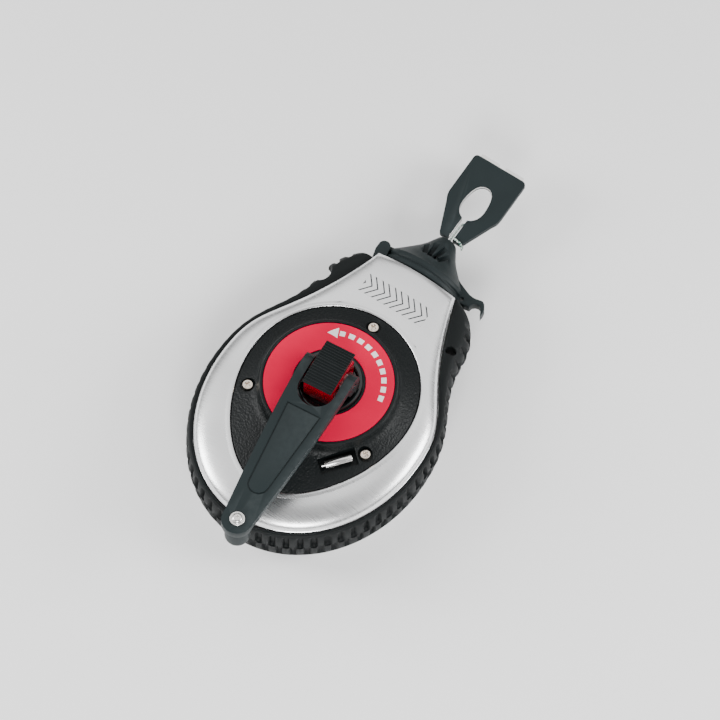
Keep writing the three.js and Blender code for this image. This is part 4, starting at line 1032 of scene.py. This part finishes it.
class REEL_OT_guard(bpy.types.Operator):
    """Makes the rubber guard with two tiers of cross ribs."""

    bl_idname = "reel.guard"
    bl_label = "Guard"

    def execute(self, context):
        for side, name in ((1, "front_bumper"), (-1, "back_bumper")):
            guard = ring_loft(name + "_ribbed", guard_rings(side, context.scene.reel_sizes))
            gap = block((2 * (NECK_X + SEAT), 12, 60), (0, NECK_Y, MID_Z))
            eye = peg(2.5, 0, 2 * MID_Z, PAD_X - 6, PAD_Y - 2.2)
            eye.scale = (1.25, 1, 1)
            notch = peg(4.4, 0, 2 * MID_Z, 1.4 - PAD_X, PAD_Y + 0.2)
            notch.scale = (1, 1.35, 1)
            ear = block((12, 14, 9.9), (-27.4, 88, MID_Z + side * 6.9))
            cut(guard, gap, eye, notch, ear)
            smooth(guard, 45)
            fit_out(guard, "case", "rubber", finish_named("Guard rubber"), name)
        return {"FINISHED"}


class REEL_OT_case(bpy.types.Operator):
    """Finishes the moulded case halves, the cover plate, its bar and all screws."""

    bl_idname = "reel.case"
    bl_label = "Case and cover"

    SCREW_CIRCLE = 42.6
    # (radius, height above the shell) up the boss, over its rim, across the label's floor, down inside
    BOSS = (
        (41.5, 2.4), (39.6, 3.5), (38.2, 4.4), (37.5, 5.6), (37.2, 7.4), (36.6, 9.5), (36.4, 10.1),
        (36.1, 10.5), (35.7, 10.6), (35.1, 10.6), (34.85, 10.4), (34.8, 9.7), (18.1, 9.7), (18.1, 7.1),
        (30.7, 7.1), (31.9, 5.7), (31.9, -2.8),
    )

    def execute(self, context):
        front = from_frame("front_case_moulding", "front_case", 0.0003)
        fit_out(front, "case", "case_plastic", finish_named("Case plastic"), "front_case")
        back = from_frame("back_case_moulding", "back_case", 0.0003)
        fit_out(back, "case", "textured_cover", finish_named("Leather grain cover"), "back_case")
        self.cover()
        bar = from_frame("steel_bar", "lock_bar", 0.0002)
        fit_out(bar, "case", "steel", finish_named("Bright steel"), "lock_bar")
        for node_name in [n for n in NODES if n.startswith(("cover_screw", "case_screw"))]:
            screw = from_frame(node_name + "_plated", node_name, 0.0002)
            fit_out(screw, "case", "steel", finish_named("Warm screw steel"), node_name)
        return {"FINISHED"}

    def cover(self):
        """The cover plate with its boss, screw recesses and the bar's cradle."""
        line = cover_outline(SHELL_STEPS)
        normals = inward(line)

        def edge(z, inset=0.0):
            return [(x, y, z) for x, y in shifted(line, normals, inset)]

        def circle(radius, z):
            return [(x * radius / math.hypot(x, y), y * radius / math.hypot(x, y), z) for x, y in line]

        f = FRONT_Z
        rings = [edge(f - 2.8), edge(f - 0.7), edge(f - 0.2, 0.2), edge(f + 0.1, 0.7)]
        rings += [circle(radius, f + z) for radius, z in self.BOSS]
        plate = ring_loft("cover_plate_moulding", rings)
        cutters = []
        for degrees in (90, 210, 330):
            x, y = (self.SCREW_CIRCLE * turn(math.radians(degrees)) for turn in (math.cos, math.sin))
            cutters.append(peg(4, f - 0.1, f + 11, x, y, 48))
        turn = math.radians(50)
        cutters.append(block((20.5, 8.4, 12), (27.2, -32.7, f + 5.3), turn))
        cut(plate, *cutters)
        smooth(plate, 32)
        fit_out(plate, "case", "textured_cover", finish_named("Leather grain cover"), "cover_plate")


class REEL_OT_label(bpy.types.Operator):
    """Makes the ring label inside the raised rim."""

    bl_idname = "reel.label"
    bl_label = "Label"

    def execute(self, context):
        low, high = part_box("label_ring")
        z0, z1 = low.z / MM, high.z / MM
        inner, outer, edge = LABEL_INNER_R, LABEL_OUTER_R, 0.15
        profile = [(inner, z0), (outer, z0), (outer, z1 - edge), (outer - edge, z1)]
        profile += [(inner + edge, z1), (inner, z1 - edge)]
        ring = turned("ring_label", profile, 128)
        smooth(ring, 30)
        fit_out(ring, "case", "red_print", finish_named("Label print"), "label_ring")
        return {"FINISHED"}


# ---------- crank ----------


class REEL_OT_crank(bpy.types.Operator):
    """Makes the hub, the red catch, the arm, the ribbed slider, the knob and its screw."""

    bl_idname = "reel.crank"
    bl_label = "Crank"

    # (radius, height above the shell) of the hub: flange, wall, rounded rim, dished floor
    HUB_CUP = (
        (0, 4.5), (20.5, 4.5), (20.5, 6.9), (17.8, 6.9), (17.8, 11.5), (17.6, 12.0), (17.1, 12.2),
        (15.9, 12.2), (15.5, 12.0), (15.3, 11.6), (15.3, 9.6), (14.9, 9.2), (13.6, 9.2), (13.4, 8.9),
        (13.2, 9.2), (11.8, 9.2), (11.5, 8.4), (0, 8.4),
    )
    # (radius, height above the seat) of the screw's head, rounded over a flange
    SCREW_HEAD = (
        (3, 0), (4.1, 0), (4.1, 0.35), (3.95, 0.5), (3.3, 0.5), (3.1, 0.35), (2.9, 0.5), (2.7, 1.1),
        (2.3, 1.5), (1.7, 1.7), (0, 1.7),
    )

    def execute(self, context):
        profile = [(radius, FRONT_Z + z) for radius, z in self.HUB_CUP]
        hub = turned("hub_cup", profile, 96, closed=False)
        smooth(hub, 30)
        fit_out(hub, "crank", "case_plastic", finish_named("Hub recess"), "crank_hub")
        catch = from_frame("red_catch", "hub_block", 0.0006, 3, 25)
        fit_out(catch, "crank", "red_plastic", finish_named("Red catch"), "hub_block")
        arm = from_frame("crank_arm_moulding", "crank_arm", 0.0004, 3, 30)
        fit_out(arm, "handle", "case_plastic", finish_named("Arm plastic"), "crank_arm")
        slider = from_frame("ribbed_slider", "lock_slider", 0.00015, 2, 25)
        fit_out(slider, "lock", "case_plastic", finish_named("Ribbed slider"), "lock_slider")
        self.knob()
        return {"FINISHED"}

    def knob(self):
        """The turning knob and its flanged screw."""
        x, y = ARM_LENGTH * math.sin(ARM_TURN), -ARM_LENGTH * math.cos(ARM_TURN)
        low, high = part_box("knob")
        z0, z1 = low.z / MM, high.z / MM
        profile = [(4.7, z0), (5.2, z0), (6.0, z0 + 0.3), (6.5, z0 + 1), (6.75, z0 + 2), (6.8, z0 + 3)]
        profile += [(6.1, z1 - 1.6), (5.9, z1 - 0.6), (5.5, z1), (3.3, z1), (3.3, z0 + 2.3), (4.7, z0 + 2.3)]
        knob = turned("knob_moulding", profile, 72, (x, y))
        smooth(knob, 40)
        fit_out(knob, "knob", "case_plastic", finish_named("Arm plastic"), "knob")
        low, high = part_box("knob_screw")
        z0, z1 = low.z / MM, high.z / MM
        seat = z1 - 1.7
        profile = [(0, z0), (4.2, z0), (4.4, z0 + 0.2), (4.4, z0 + 1), (3, z0 + 1)]
        profile += [(radius, seat + z) for radius, z in self.SCREW_HEAD]
        screw = turned("knob_screw_plated", profile, 48, (x, y), closed=False)
        socket = peg(1.35, z1 - 1.1, z1 + 1, x, y, 6)
        cut(screw, socket)
        smooth(screw, 35)
        fit_out(screw, "handle", "steel", finish_named("Bright steel"), "knob_screw")


# ---------- lid, hook and inside ----------


class REEL_OT_lid(bpy.types.Operator):
    """Finishes the filling lid with its nozzle, ear and latch."""

    bl_idname = "reel.lid"
    bl_label = "Lid"

    # (x, turn) of the windows in each face, fanned out from the nozzle
    WINDOWS = ((-6.2, 0.42), (-2.1, 0.14), (2.1, -0.14), (6.2, -0.42))

    def execute(self, context):
        lid = from_frame("filling_lid", "fill_lid", 0.0003, 2, 38)
        cutters = []
        for x, turn in self.WINDOWS:
            for side in (1, -1):
                place = (x, TIP_Y - 11.2, MID_Z + side * 11)
                cutters.append(block((2.9, 10.5, 9), place, turn))
        cut(lid, *cutters)
        smooth(lid, 38)
        fit_out(lid, "lid", "case_plastic", finish_named("Case plastic"), "fill_lid")
        for node_name, finish_name, slot in (
            ("nozzle_eyelet", "Bright steel", "steel"),
            ("felt_wiper", "Felt", "felt"),
            ("neck_seal", "Guard rubber", "rubber"),
        ):
            part = from_frame(node_name + "_fitted", node_name, 0.00015)
            fit_out(part, "lid", slot, finish_named(finish_name), node_name)
        return {"FINISHED"}


class REEL_OT_hook(bpy.types.Operator):
    """Finishes the end hook's steel core and its jacket."""

    bl_idname = "reel.hook"
    bl_label = "End hook"

    def execute(self, context):
        jacket = from_frame("hook_jacket_moulding", "hook_jacket", 0.0004, 3, 32)
        fit_out(jacket, "hook", "hook_cover", finish_named("Hook jacket"), "hook_jacket")
        core = from_frame("hook_core_plate", "hook_core", 0.00015, 2, 32)
        fit_out(core, "hook", "steel", finish_named("Bright steel"), "hook_core")
        return {"FINISHED"}


class REEL_OT_inside(bpy.types.Operator):
    """Gives the gears, the spool, the pins and the wound line their finishes."""

    bl_idname = "reel.inside"
    bl_label = "Inside"

    FINISHES = {
        "nylon": "Gear nylon",
        "steel": "Bright steel",
        "case_plastic": "Case plastic",
        "line": "Braided line",
    }

    def execute(self, context):
        for part in frame["record"]["subparts"]:
            part_node = NODES[part["node"]]
            if not part_node.hide_render:
                part_node.data.materials.clear()
                part_node.data.materials.append(finish_named(self.FINISHES[part["material_slot"]]))
        return {"FINISHED"}


class REEL_PT_panel(bpy.types.Panel):
    """Lists the reel's operators and settings."""

    bl_idname = "REEL_PT_panel"
    bl_label = "Chalk line reel"
    bl_space_type = "VIEW_3D"
    bl_region_type = "UI"
    bl_category = "Reel"

    def draw(self, context):
        for group in (context.scene.reel_sizes, context.scene.reel_colours):
            for name in group.bl_rna.properties.keys():
                if name not in {"rna_type", "name"}:
                    self.layout.prop(group, name)
        for step in STEPS:
            self.layout.operator(step.bl_idname)


STEPS = (
    REEL_OT_stage,
    REEL_OT_line,
    REEL_OT_shells,
    REEL_OT_guard,
    REEL_OT_case,
    REEL_OT_label,
    REEL_OT_crank,
    REEL_OT_lid,
    REEL_OT_hook,
    REEL_OT_inside,
)
CLASSES = (ReelSizes, ReelColours, *STEPS, REEL_PT_panel)


def register():
    for made in CLASSES:
        bpy.utils.register_class(made)
    bpy.types.Scene.reel_sizes = bpy.props.PointerProperty(type=ReelSizes)
    bpy.types.Scene.reel_colours = bpy.props.PointerProperty(type=ReelColours)


def unregister():
    del bpy.types.Scene.reel_colours
    del bpy.types.Scene.reel_sizes
    for made in reversed(CLASSES):
        bpy.utils.unregister_class(made)


def main():
    register()
    for step in STEPS:
        group, name = step.bl_idname.split(".")
        getattr(getattr(bpy.ops, group), name)()


if __name__ == "__main__":
    main()
